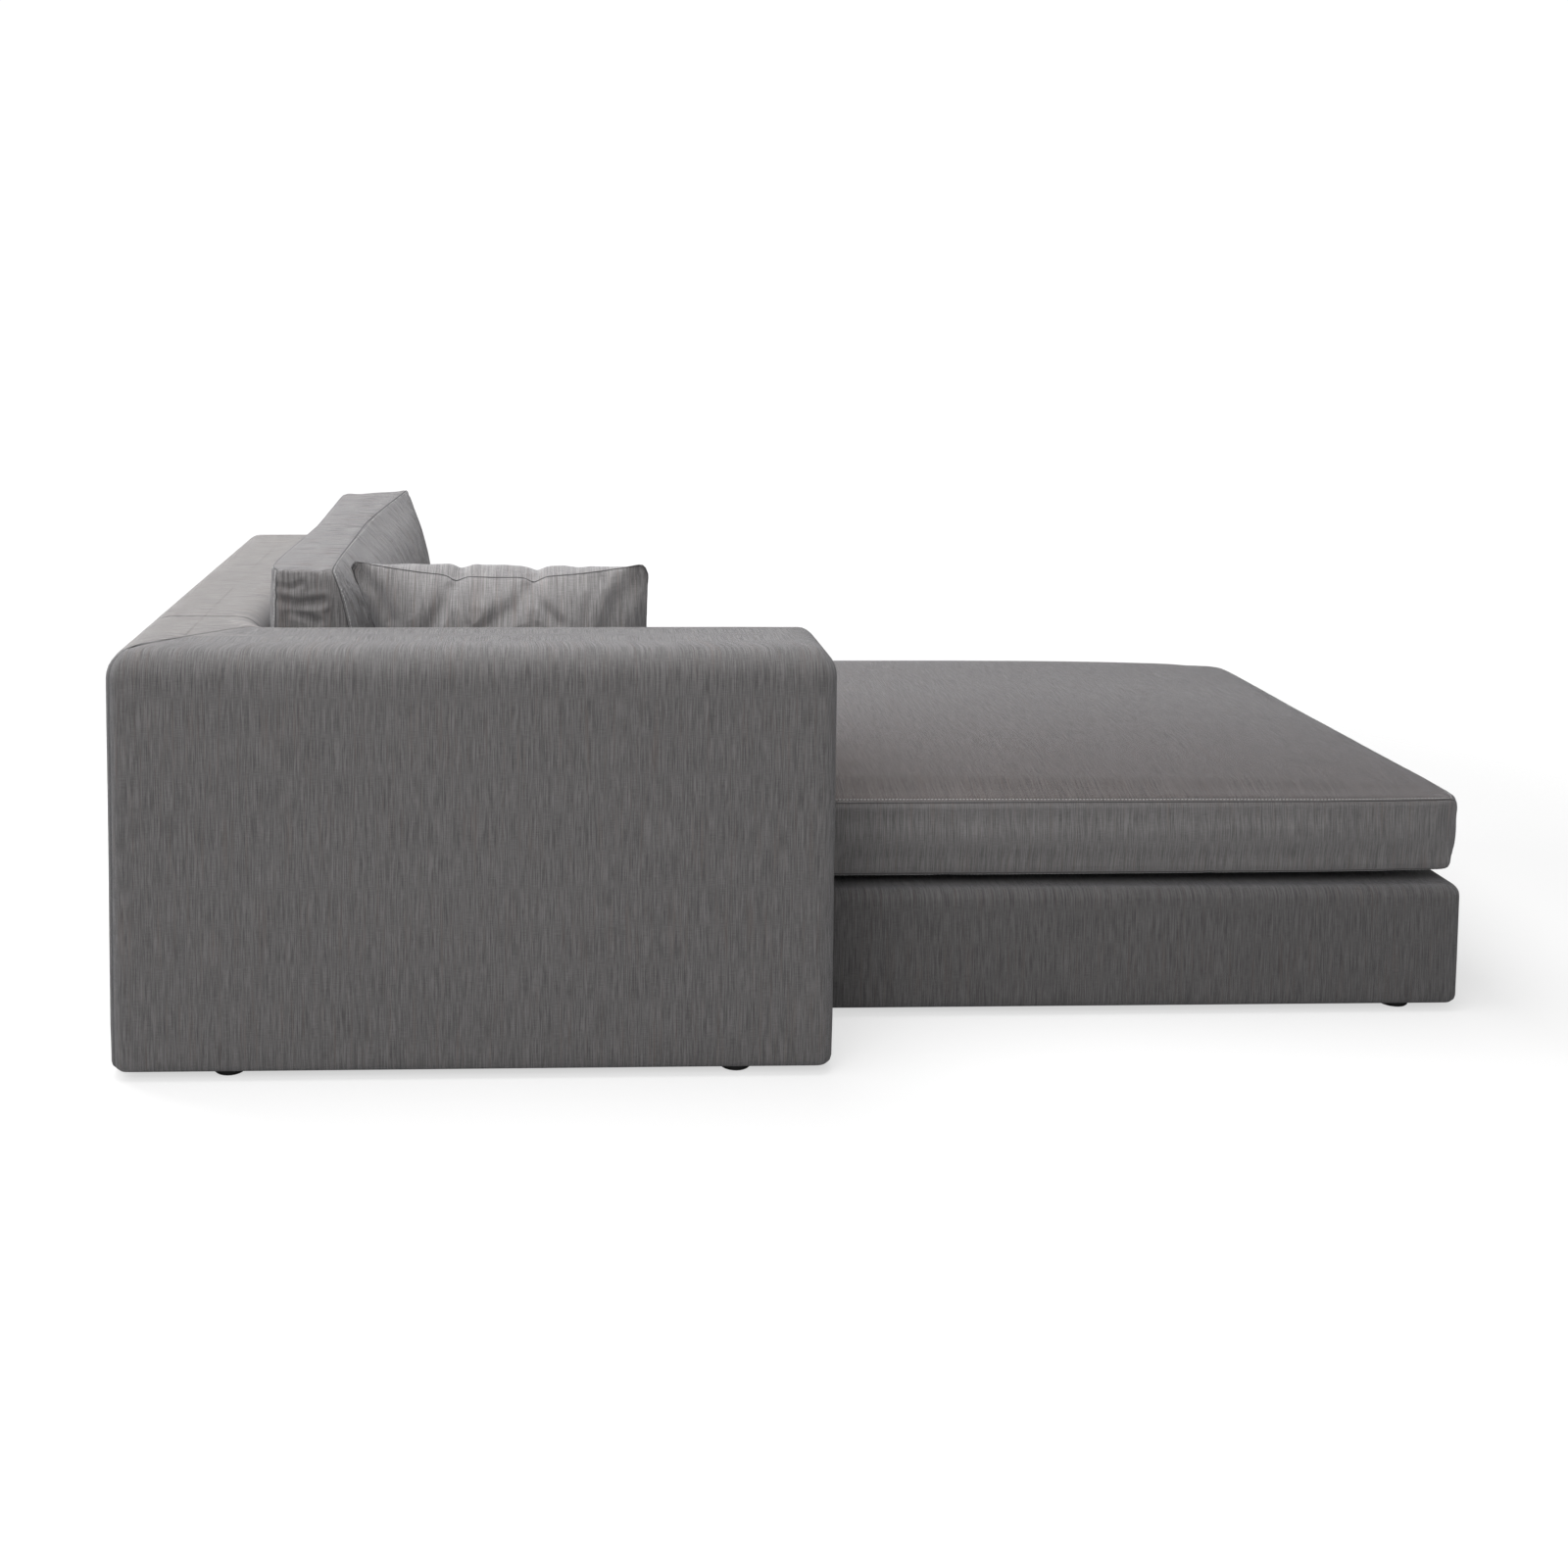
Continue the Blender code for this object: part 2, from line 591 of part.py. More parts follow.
def make_bolts(made):
    """Two bolts from arm to base, two from back to base and one from arm to back."""
    height = UNIT_UNDERSIDE + BOLT_RISE
    arm_inside = ARM_THICKNESS - FRAME_INSET - PANEL_THICKNESS
    near_rail = FRAME_NEAR + BASE_RAIL_THICKNESS
    arm_walls = [made["arm_panel_inner"], made["arm_foam"], made["arm_cover"]]
    base_walls = [made["base_cover"], made["base_foam"]]
    for k, x in enumerate((BACK_THICKNESS + ARM_BOLT_FROM_HEAD, ARM_LENGTH - ARM_BOLT_FROM_FOOT)):
        walls = [*arm_walls, *base_walls, made["base_side_rail_near"]]
        make_bolt(f"arm_bolt_{k + 1}", (x, 0, height), 1, arm_inside, near_rail, walls)
    back_inside = BACK_THICKNESS - FRAME_INSET - PANEL_THICKNESS
    head_rail = FRAME_HEAD + BASE_RAIL_THICKNESS
    back_walls = [made["back_panel_inner"], made["back_foam"], made["back_cover"]]
    for k, y in enumerate((BASE_NEAR + BACK_BOLT_INSET, OVERALL_WIDTH - BACK_BOLT_INSET)):
        walls = [*back_walls, *base_walls, made["base_end_rail_head"]]
        make_bolt(f"back_bolt_{k + 1}", (0, y, height), 0, back_inside, head_rail, walls)
    walls = [made["arm_panel_inner"], made["back_post_near"]]
    place = (BACK_THICKNESS / 2, 0, UNIT_UNDERSIDE + CORNER_BOLT_RISE)
    make_bolt("corner_bolt", place, 1, arm_inside, BACK_FRAME_START + POST_WIDTH, walls)


def make_glides():
    """Low round glides, nailed through the dust covers."""
    top = FLOOR_GAP - DUST_COVER_THICKNESS - 2 * SEAT_GAP
    rim = GLIDE_RIM_RADIUS
    profile = [(GLIDE_RADIUS - rim, 0), (GLIDE_RADIUS, rim), (GLIDE_RADIUS, top - rim), (GLIDE_RADIUS - rim, top)]
    reach = GLIDE_INSET + GLIDE_RADIUS
    for name, x, y in (
        ("glide_arm_head", ARM_GLIDE_HEAD_X, reach),
        ("glide_arm_foot", ARM_LENGTH - ARM_GLIDE_FOOT_MARGIN, reach),
        ("glide_back_far", reach, OVERALL_WIDTH - FAR_GLIDE_MARGIN),
        ("glide_base_near", OVERALL_LENGTH - BASE_GLIDE_FOOT_MARGIN, BASE_NEAR + BASE_GLIDE_NEAR_INSET),
        ("glide_base_far", OVERALL_LENGTH - BASE_GLIDE_FOOT_MARGIN, OVERALL_WIDTH - FAR_GLIDE_MARGIN),
        ("glide_base_middle", ARM_LENGTH, OVERALL_WIDTH - FAR_GLIDE_MARGIN),
    ):
        turned(name, profile, GLIDE_SIDES, PLASTIC, (x, y, 0), 2)


def spread(cells):
    """Places from -1 to 1 that lie closer together towards both ends, where a stuffed form turns."""
    return [math.sin(math.pi / 2 * (2 * k / cells - 1)) for k in range(cells + 1)]


def crown(u, v, edge_power=CROWN_EDGE_POWER, round_power=CROWN_ROUND_POWER):
    """The share of its crown that a stuffed form reaches at u, v, from 0 on its seams to 1 in the middle."""
    return ((1 - abs(u) ** edge_power) * (1 - abs(v) ** edge_power)) ** round_power


def rim_cells(cells):
    """The grid places round the seam, anticlockwise."""
    across, along = cells
    rim = [(i, 0) for i in range(across)] + [(across, j) for j in range(along)]
    rim += [(across - i, along) for i in range(across)] + [(0, along - j) for j in range(along)]
    return rim


def halves(a, b, c, d, from_a):
    """A four-sided face as two triangles, split from its first corner or from its second."""
    return [[a, b, c], [a, c, d]] if from_a else [[a, b, d], [b, c, d]]


def cushion_faces(cells, steps):
    """Faces over an upper sheet, a lower sheet and the boxing between them, as indices into cushion_points.
    The sheets are split along lines from their corners to their middle, and each cell gives two triangles."""
    across, along = cells
    sheet = (across + 1) * (along + 1)
    faces = []
    for layer in (0, 1):
        for i in range(across):
            for j in range(along):
                first = layer * sheet + i * (along + 1) + j
                to_middle = (i < across / 2) == (j < along / 2)
                pair = halves(first, first + along + 1, first + along + 2, first + 1, to_middle)
                faces += pair if layer == 0 else [face[::-1] for face in pair]
    rim = rim_cells(cells)
    count = len(rim)
    levels = [[i * (along + 1) + j for i, j in rim]]
    levels += [[2 * sheet + level * count + k for k in range(count)] for level in range(steps - 1)]
    levels.append([sheet + i * (along + 1) + j for i, j in rim])
    for upper, lower in zip(levels, levels[1:]):
        for k in range(count):
            after = (k + 1) % count
            faces += halves(upper[k], lower[k], lower[after], upper[after], True)
    return faces


def cushion_points(us, vs, steps, place):
    """The points of a boxed cushion. place(u, v, w) gives a point: w is 1 on the upper sheet, -1 on the lower
    one, and between them on the boxing, where u or v is 1 or -1."""
    points = [place(u, v, 1) for u in us for v in vs]
    points += [place(u, v, -1) for u in us for v in vs]
    rim = rim_cells((len(us) - 1, len(vs) - 1))
    for level in range(1, steps):
        points += [place(us[i], vs[j], 1 - 2 * level / steps) for i, j in rim]
    return points


def opening_walls(columns, row, along, hollow_start):
    """The walls round an opening in the upper sheet, which takes these columns of one row."""
    first, last = columns[0], columns[-1]
    low = [i * (along + 1) + row for i in range(first, last + 2)]
    high = [point + 1 for point in low]
    around = low + high[::-1]
    walls = []
    for a, b in zip(around, around[1:] + around[:1]):
        walls += halves(a, b, hollow_start + b, hollow_start + a, True)
    return walls


def make_stuffed(cover_name, core_name, us, vs, steps, place_at, opening=((), 0)):
    """A cover with its hollow, and the core that fills it. place_at(inset) gives the form drawn in by inset.
    The opening is columns and a row of the upper sheet."""
    faces = cushion_faces((len(us) - 1, len(vs) - 1), steps)
    columns, row = opening
    opened = {column * (len(vs) - 1) + row for column in columns}
    sewn = [face for index, face in enumerate(faces) if index // 2 not in opened]
    outer = cushion_points(us, vs, steps, place_at(0.0))
    inner = cushion_points(us, vs, steps, place_at(CUSHION_COVER_THICKNESS))
    core = cushion_points(us, vs, steps, place_at(CUSHION_COVER_THICKNESS + SEAT_GAP))
    hollow = [[len(outer) + index for index in reversed(face)] for face in sewn]
    walls = opening_walls(columns, row, len(vs) - 1, len(outer)) if columns else []
    shell = bpy.data.meshes.new(cover_name)
    shell.from_pydata(outer + inner, [], sewn + hollow + walls)
    body = bpy.data.meshes.new(core_name)
    body.from_pydata(core, [], faces)
    cover = smooth(add_object(cover_name, shell, FABRIC))
    smooth(add_object(core_name, body, FOAM))
    return cover


def clear_of_corner(x, y, inset, clearance):
    """Keeps a cushion's corner inside the round corner between arm and back."""
    centre = Vector((BACK_THICKNESS + INNER_CORNER_RADIUS, ARM_THICKNESS + INNER_CORNER_RADIUS))
    offset = Vector((x, y)) - centre
    reach = INNER_CORNER_RADIUS - clearance - inset
    if offset.x < 0 and offset.y < 0 and offset.length > reach:
        offset *= reach / offset.length
    return tuple(centre + offset)


def end_share(t):
    """1 at the ends of a side and 0 along most of it."""
    return math.copysign(abs(t) ** CORNER_PULL_POWER, t)


SEAT_LOW = (BACK_THICKNESS + SEAT_CUSHION_HEAD_GAP, ARM_THICKNESS + SEAT_CUSHION_ARM_GAP)
SEAT_HIGH = (OVERALL_LENGTH - SEAT_CUSHION_FOOT_MARGIN, OVERALL_WIDTH - SEAT_CUSHION_FAR_MARGIN)
SEAT_MIDDLE = ((SEAT_LOW[0] + SEAT_HIGH[0]) / 2, (SEAT_LOW[1] + SEAT_HIGH[1]) / 2)
SEAT_HALF = ((SEAT_HIGH[0] - SEAT_LOW[0]) / 2, (SEAT_HIGH[1] - SEAT_LOW[1]) / 2)


def seat_cushion_at(inset):
    """The seat cushion's form: flat at the head, where it meets the back, and drawn in on its other sides."""

    def place(u, v, w):
        on_boxing = abs(w) < 1
        bulge = SEAT_CUSHION_BULGE * (1 - w * w)
        low_draw = SEAT_CUSHION_LOW_DRAW_IN * (1 - w) / 2
        pull = CUSHION_CORNER_PULL * abs(end_share(u) * end_share(v))
        to_foot, to_head = max(u, 0.0), max(-u, 0.0)
        x = u * (SEAT_HALF[0] - inset)
        x -= to_foot * (SEAT_CUSHION_DRAW_IN * (1 - v * v) + low_draw + pull)
        x += bulge * end_share(to_foot)
        y = v * (SEAT_HALF[1] - inset - SEAT_CUSHION_DRAW_IN * (1 - u * u) - low_draw - pull)
        y += bulge * end_share(v) * (1 - to_head)
        x, y = SEAT_MIDDLE[0] + x, SEAT_MIDDLE[1] + y
        if x < ARM_LENGTH:
            y = max(y, ARM_THICKNESS + SEAT_GAP + inset)
        x, y = clear_of_corner(x, y, inset, SEAT_CORNER_CLEARANCE)
        z = (SEAT_CUSHION_TOP_SEAM + SEAT_CUSHION_LOW_SEAM) / 2 + w * (SEAT_CUSHION_BOXING / 2 - inset)
        if not on_boxing:
            z += SEAT_CUSHION_CROWN * crown(u, v) if w > 0 else -SEAT_CUSHION_SAG * crown(u, v)
        return (x, y, max(z, BASE_HEIGHT + SEAT_GAP + inset))

    return place


def seat_top(x, y):
    """How high the seat cushion's top is."""
    u = max(-1.0, min(1.0, (x - SEAT_MIDDLE[0]) / SEAT_HALF[0]))
    v = max(-1.0, min(1.0, (y - SEAT_MIDDLE[1]) / SEAT_HALF[1]))
    return SEAT_CUSHION_TOP_SEAM + SEAT_CUSHION_CROWN * crown(u, v)


BACK_CUSHION_NEAR = ARM_THICKNESS + BACK_CUSHION_ARM_GAP
BACK_CUSHION_FAR = OVERALL_WIDTH - BACK_CUSHION_FAR_MARGIN
BACK_CUSHION_HALF = (BACK_CUSHION_FAR - BACK_CUSHION_NEAR) / 2


def back_cushion_seams(rise):
    """Where the rear seam and the front seam are, from the bottom at 0 to the top at 1."""
    rear = BACK_CUSHION_STAND_OFF + rise**TAPER_POWER * (BACK_CUSHION_TOP_LEAN - BACK_CUSHION_STAND_OFF)
    low_boxing = BACK_CUSHION_LOW_BOXING - BACK_CUSHION_TOP_BOXING
    front = rear + BACK_CUSHION_TOP_BOXING + low_boxing * (1 - rise**TAPER_POWER)
    return BACK_THICKNESS + rear, BACK_THICKNESS + front


def back_cushion_front(y, z):
    """How far the back cushion's front reaches."""
    u = max(-1.0, min(1.0, (y - BACK_CUSHION_NEAR) / BACK_CUSHION_HALF - 1))
    rise = max(0.0, min(1.0, (z - SEAT_CUSHION_TOP_SEAM) / (BACK_CUSHION_TOP - SEAT_CUSHION_TOP_SEAM)))
    return back_cushion_seams(rise)[1] + BACK_CUSHION_CROWN * crown(u, 2 * rise - 1)


def back_cushion_at(inset):
    """The back cushion's form: it stands on the seat cushion and leans on the back, thick below and thin above."""

    def place(u, v, w):
        on_boxing = abs(w) < 1
        bulge = BACK_CUSHION_BULGE * (1 - w * w)
        pull = CUSHION_CORNER_PULL * abs(end_share(u) * end_share(v))
        rise = (v + 1) / 2
        y = (BACK_CUSHION_NEAR + BACK_CUSHION_FAR) / 2 + bulge * end_share(u)
        y += u * (BACK_CUSHION_HALF - inset - BACK_CUSHION_DRAW_IN * (1 - v * v) - pull)
        rear, front = back_cushion_seams(rise)
        x = rear + inset + (w + 1) / 2 * (front - rear - 2 * inset)
        if not on_boxing:
            x += BACK_CUSHION_CROWN * crown(u, v) if w > 0 else -BACK_CUSHION_REAR_CROWN * crown(u, v)
        stand_off = SEAT_GAP + min(max(-2 * v, 0.0), 1.0) * (BACK_CUSHION_STAND_OFF - SEAT_GAP)
        x = max(x, BACK_THICKNESS + stand_off + inset)
        x, y = clear_of_corner(x, y, inset, BACK_CORNER_CLEARANCE)
        low = seat_top(x, y) + CUSHION_REST_GAP + inset
        top = BACK_CUSHION_TOP - inset - BACK_CUSHION_TOP_SAG * (1 - u * u) - pull + bulge
        return (x, y, low + rise * (top - low))

    return place


def scatter_cushion_at(inset):
    """The scatter cushion's form: two sheets that meet in a seam, pressed flat against the arm and the back
    cushion. Its upper sheet is the one that faces the arm."""
    drawn = inset * SCATTER_SEAM_ALLOWANCE / CUSHION_COVER_THICKNESS

    def place(u, v, w):
        rise = (v + 1) / 2
        head = SCATTER_HEAD_LOW + rise * (SCATTER_HEAD_TOP - SCATTER_HEAD_LOW)
        foot = SCATTER_FOOT_LOW + rise * (SCATTER_FOOT_TOP - SCATTER_FOOT_LOW)
        half = (foot - head) / 2
        x = BACK_THICKNESS + head + half + u * (half - drawn - SCATTER_SIDE_DRAW_IN * (1 - v * v))
        y = ARM_THICKNESS + SCATTER_SEAM_LOW + rise * (SCATTER_SEAM_TOP - SCATTER_SEAM_LOW)
        y -= w * (SCATTER_HALF_DEPTH - inset) * crown(u, v, SCATTER_EDGE_POWER, SCATTER_ROUND_POWER)
        y = max(y, ARM_THICKNESS + SEAT_GAP + inset)
        low = seat_top(x, y) + CUSHION_REST_GAP + drawn
        top = SCATTER_TOP - SCATTER_TOP_DRAW_IN * (1 - u * u) - drawn
        z = low + rise * (top - low)
        return (max(x, back_cushion_front(y, z) + SCATTER_HEAD_CLEARANCE + inset), y, z)

    return place


def make_zip(name, low, high, out):
    """A zip that closes a slot in a cushion's flat rear wall: tape flush with the wall and a coil that stands proud.
    low and high are the slot's corners, and out is the wall's outer face."""
    y0, y1 = low[1] + SEAT_GAP, high[1] - SEAT_GAP
    z0, z1 = low[2] + SEAT_GAP, high[2] - SEAT_GAP
    middle = (z0 + z1) / 2
    inside = out + CUSHION_COVER_THICKNESS
    coil = ZIP_COIL_WIDTH / 2
    profile = [
        (inside, z0),
        (inside, z1),
        (out, z1),
        (out, middle + coil),
        (out - ZIP_COIL_HEIGHT, middle + coil / 2),
        (out - ZIP_COIL_HEIGHT, middle - coil / 2),
        (out, middle - coil),
        (out, z0),
    ]
    return loft(name, [[(x, y, z) for x, z in profile] for y in (y0, y1)], ZIP_TAPE)


def make_slider(name, place):
    """A zip slider with its hanging pull. Its empty lies on the coil, at the zip's near end, where it starts."""
    pivot = bpy.data.objects.new(name + "_start", None)
    bpy.context.scene.collection.objects.link(pivot)
    pivot.parent = ORIGIN
    pivot.location = place
    half, wide, deep = SLIDER_LENGTH / 2, SLIDER_WIDTH / 2, SLIDER_HEIGHT
    outline = [
        (-half, -wide),
        (half, -wide / 2),
        (half, wide / 2),
        (-half, wide),
    ]
    body = loft(name, [[(0, y, z) for y, z in outline], [(-deep, y, z) for y, z in outline]], STEEL, pivot)
    pull_half = PULL_WIDTH / 2
    pull = [
        (-pull_half, wide / 2),
        (pull_half, wide / 2),
        (pull_half, -PULL_LENGTH),
        (0, -PULL_LENGTH - pull_half),
        (-pull_half, -PULL_LENGTH),
    ]
    back, front = -deep - PULL_THICKNESS / 2, -deep + PULL_THICKNESS / 2
    tab = loft(name + "_pull", [[(back, y, z) for y, z in pull], [(front, y, z) for y, z in pull]], None, pivot)
    join = body.modifiers.new("join pull", "BOOLEAN")
    join.operation = "UNION"
    join.solver = "EXACT"
    join.object = tab
    tab.hide_render = True
    tab.display_type = "WIRE"
    return body


def close_with_zip(cushion, cover, wall, middle_y, length, middle_z):
    """Cuts a cushion's rear wall open along its middle, and puts a zip and its slider there."""
    low = (wall - OVERRUN, middle_y - length / 2, middle_z - ZIP_HEIGHT / 2)
    high = (wall + OVERRUN, middle_y + length / 2, middle_z + ZIP_HEIGHT / 2)
    slot = make_box(cushion + "_zip_slot", low, high, None)
    cut(cover, slot)
    make_zip(cushion + "_zip", low, high, wall)
    start = (wall - ZIP_COIL_HEIGHT - SEAT_GAP, low[1] + SLIDER_LENGTH, middle_z)
    make_slider(cushion + "_zip_slider", start)


def make_seat_cushion():
    us, vs = spread(SEAT_CUSHION_CELLS[0]), spread(SEAT_CUSHION_CELLS[1])
    cover = make_stuffed("seat_cushion_cover", "seat_cushion_core", us, vs, BOXING_STEPS, seat_cushion_at)
    middle_z = (SEAT_CUSHION_TOP_SEAM + SEAT_CUSHION_LOW_SEAM) / 2
    length = 2 * SEAT_HALF[1] * ZIP_LENGTH_SHARE
    close_with_zip("seat_cushion", cover, SEAT_LOW[0], SEAT_MIDDLE[1], length, middle_z)


def make_back_cushion():
    us, vs = spread(BACK_CUSHION_CELLS[0]), spread(BACK_CUSHION_CELLS[1])
    cover = make_stuffed("back_cushion_cover", "back_cushion_fill", us, vs, BOXING_STEPS, back_cushion_at)
    wall = BACK_THICKNESS + BACK_CUSHION_STAND_OFF
    low = seat_top(wall, (BACK_CUSHION_NEAR + BACK_CUSHION_FAR) / 2) + BACK_CUSHION_ZIP_RISE
    length = 2 * BACK_CUSHION_HALF * ZIP_LENGTH_SHARE
    close_with_zip("back_cushion", cover, wall, (BACK_CUSHION_NEAR + BACK_CUSHION_FAR) / 2, length, low)


def make_tape(name, us, low, high, place_at):
    """A strip of zip tape that closes an opening of the upper sheet, between two columns and two heights."""
    margin = 2 * SEAT_GAP / (SCATTER_FOOT_TOP - SCATTER_HEAD_LOW)
    us = [us[0] + 2 * margin, *us[1:-1], us[-1] - 2 * margin]
    outside, inside = place_at(TAPE_RECESS), place_at(CUSHION_COVER_THICKNESS - TAPE_RECESS)
    low, high = low + 2 * margin, high - 2 * margin
    rings = [[outside(u, low, 1), outside(u, high, 1), inside(u, high, 1), inside(u, low, 1)] for u in us]
    return loft(name, rings, ZIP_TAPE)


def make_scatter_cushion():
    """The scatter cushion, with a concealed zip low on the sheet that faces the arm."""
    across = SCATTER_CELLS[0]
    us = spread(across)
    vs = sorted([*spread(SCATTER_CELLS[1]), SCATTER_ZIP_SHARE])
    columns = range(across // 4, across - across // 4)
    row = vs.index(SCATTER_ZIP_SHARE)
    opening = (columns, row)
    make_stuffed("scatter_cushion_cover", "scatter_cushion_fill", us, vs, 1, scatter_cushion_at, opening)
    tape_us = us[columns[0] : columns[-1] + 2]
    make_tape("scatter_cushion_zip", tape_us, vs[row], vs[row + 1], scatter_cushion_at)


def main():
    made = make_upholstery()
    made.update(make_wall_frames())
    made.update(make_base_frame())
    make_webbing()
    make_bolts(made)
    make_glides()
    make_seat_cushion()
    make_back_cushion()
    make_scatter_cushion()


main()
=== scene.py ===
"""The upholstered daybed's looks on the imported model: fabric, seams, stitches and stuffed cushions.

Metres, +Z up. X runs from the back at the head to the foot of the seat, and Y from the arm to the
open side. "Flat" places are measured from the outer corner where arm and back meet.
"""

import json
import math

import bmesh
import bpy
import numpy as np
from bpy.props import FloatProperty, FloatVectorProperty, PointerProperty
from mathutils import Matrix, Vector, noise
from mathutils.bvhtree import BVHTree
from mathutils.kdtree import KDTree


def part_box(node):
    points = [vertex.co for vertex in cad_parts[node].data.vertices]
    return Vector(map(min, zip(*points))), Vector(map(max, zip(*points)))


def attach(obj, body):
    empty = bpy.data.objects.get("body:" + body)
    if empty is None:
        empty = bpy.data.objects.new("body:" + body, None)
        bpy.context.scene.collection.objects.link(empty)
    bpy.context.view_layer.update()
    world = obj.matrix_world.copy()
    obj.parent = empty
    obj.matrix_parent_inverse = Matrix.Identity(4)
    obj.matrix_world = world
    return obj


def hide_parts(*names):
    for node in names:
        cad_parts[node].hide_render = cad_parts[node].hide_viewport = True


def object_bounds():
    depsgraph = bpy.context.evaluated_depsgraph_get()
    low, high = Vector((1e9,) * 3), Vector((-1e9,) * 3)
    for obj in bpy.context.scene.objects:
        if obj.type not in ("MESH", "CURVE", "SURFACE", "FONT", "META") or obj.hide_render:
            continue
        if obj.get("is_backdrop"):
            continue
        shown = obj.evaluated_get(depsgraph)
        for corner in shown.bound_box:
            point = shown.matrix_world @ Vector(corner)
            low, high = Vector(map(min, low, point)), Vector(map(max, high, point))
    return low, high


bl_info = {
    "name": "Upholstered daybed",
    "version": (1, 0, 0),
    "blender": (4, 5, 0),
    "location": "3D View > Sidebar > Daybed",
    "description": "Dresses the daybed's frame in fabric, seams, stitches and stuffed cushions",
    "category": "Object",
}

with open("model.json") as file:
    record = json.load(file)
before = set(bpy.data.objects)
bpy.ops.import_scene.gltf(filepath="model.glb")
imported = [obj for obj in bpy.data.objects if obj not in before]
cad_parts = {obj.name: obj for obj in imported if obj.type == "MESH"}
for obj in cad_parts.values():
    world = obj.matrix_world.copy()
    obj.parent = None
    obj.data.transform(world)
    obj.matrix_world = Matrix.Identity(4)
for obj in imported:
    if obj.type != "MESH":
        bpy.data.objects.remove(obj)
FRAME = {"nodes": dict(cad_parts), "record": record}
CAD_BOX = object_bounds()
NODES = FRAME["nodes"]


def node_box(name):
    """A node's lowest and highest corner."""
    low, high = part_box(name)
    return Vector(low), Vector(high)


ARM_LOW, ARM_HIGH = node_box("arm_cover")
CORNER_LOW, CORNER_HIGH = node_box("corner_cover")
BACK_LOW, BACK_HIGH = node_box("back_cover")
BASE_LOW, BASE_HIGH = node_box("base_cover")
SEAT_LOW, SEAT_HIGH = node_box("seat_cushion_cover")
REST_LOW, REST_HIGH = node_box("back_cushion_cover")
SCATTER_LOW, SCATTER_HIGH = node_box("scatter_cushion_cover")

# Walls of arm, back and base
WALL_TOP_RADIUS = 0.044
WALL_CORNER_RADIUS = 0.025
HOLLOW_CORNER_RADIUS = CORNER_HIGH.x - BACK_HIGH.x - 0.004
HEM_RADIUS = 0.012
BASE_TOP_RADIUS = 0.018
DECK_REACH = 0.16  # how far the base's cover goes in over its deck
DECK_SEAM_INSET = 0.085
COVER_LIP = 0.034
COVER_THICKNESS = 0.0018
MITRE_STRAIGHT_SHARE = 0.8
ARC_STEPS = 8
HEM_STEPS = 3
WALL_CELL = 0.014
TOP_CELL = 0.010
SLACK = 0.0016  # how far the stretched fabric stands proud of the foam's form at most
BASE_SLACK = 0.0010
PROUD = 0.0015  # how far a wall's skin may stand outside the CAD's box
WALL_GROOVE = 0.0024
WALL_GROOVE_WIDTH = 0.009
WALL_SEAM_SCALE = 0.36  # below 1, so that a wall's painted seam shade is wider than a cushion's

# Fabric
SEAM_LINE = (0.0007, 0.0019)  # the painted shade in a seam's groove fades between these distances from the seam
# How dark the painted shade in a seam's groove is
SEAM_SHADE_STRENGTH = 0.72
WARM_SHARE = 0.42
# Painted shade: the seat cushion's top made darker and browner, most towards the arm and the camera, for the
# fabric's dimmer look at a grazing view
PAINTED_SEAT_TOP_SHADE_TINT = (0.35, 0.295, 0.27)
# Painted light: upward faces on the back's side of the mitre made lighter, as the light from above falls on
# them
PAINTED_BACK_TOP_LIGHT_TINT = (1.42, 1.40, 1.36)

# Cushions
SEAT_LOW_SEAM = 0.2255
SEAT_TOP_SEAM = 0.343
SEAT_CROWN = 0.042
SEAT_SAG = 0.036
SEAT_BULGE = 0.005
SEAT_SIDE_DRAW = 0.004
SEAT_LOW_DRAW = 0.003
SEAT_FOOT_FULLNESS = 0.008
SEAT_BOXING_FULLNESS = 0.006
REST_TOP = 0.717
REST_TOP_BOXING = 0.085
REST_LOW_BOXING = 0.150
REST_TOP_LEAN = 0.025
REST_STAND_OFF = 0.006
REST_REAR_CROWN = 0.034
REST_CROWN = 0.052
REST_BULGE = 0.006
REST_END_DRAW = 0.010
REST_TOP_DRAW = 0.004
REST_SLUMP = 0.046  # how far the far end's front leans forward
REST_NEAR_FULLNESS = 0.014
REST_FAR_RISE = 0.007
REST_EAR = 0.010
SCATTER_HEAD = (0.245, 0.128)  # from the back's face, at the bottom and at the top
SCATTER_FOOT = (0.612, 0.602)
SCATTER_STAND_OFF = (0.120, 0.055)  # from the arm's face, at the bottom and at the top
SCATTER_HALF_DEPTH = 0.087
SCATTER_SIDE_DRAW = 0.006
SCATTER_SAG = 0.026
SCATTER_PUCKERS = (-0.28, 0.24)
PUCKER_DEPTH = 0.008
PUCKER_WIDTH = 0.05
SCATTER_TOP_RISE = 0.009
SCATTER_TOP_TILT = 0.003
SCATTER_REAR_RISE = 0.050
TOUCH = 0.0003  # the gap between things that touch
CUSHION_GAP = 0.005
CORNER_PULL = 0.008
TAPER_POWER = 2.5
BOXING_STEPS = 6
FAR = 0.2  # stands for a point that is nowhere near a seam
SEAM_REACH = 0.018
SEAM_GROOVE_WIDTH = 0.006
LIP_STEP = 0.006
CLOTH = {
    "quality": 5,
    "mass": 0.35,
    "tension_stiffness": 14,
    "compression_stiffness": 14,
    "shear_stiffness": 6,
    "bending_stiffness": 0.6,
    "air_damping": 3,
    "use_pressure": True,
}

# Photograph's camera, as fitted: pixels, metres, and radians down, to the right and about its axis
PHOTO_PIXELS = 1600
FOCAL_PIXELS = 1745.0
PHOTO_CENTRE = (601.6, 408.5)
EYE = Vector((CORNER_LOW.x + 0.6118, ARM_LOW.y - 2.4142, 1.1376))
PITCH, YAW, ROLL = 0.0625, 0.0320, 0.0046

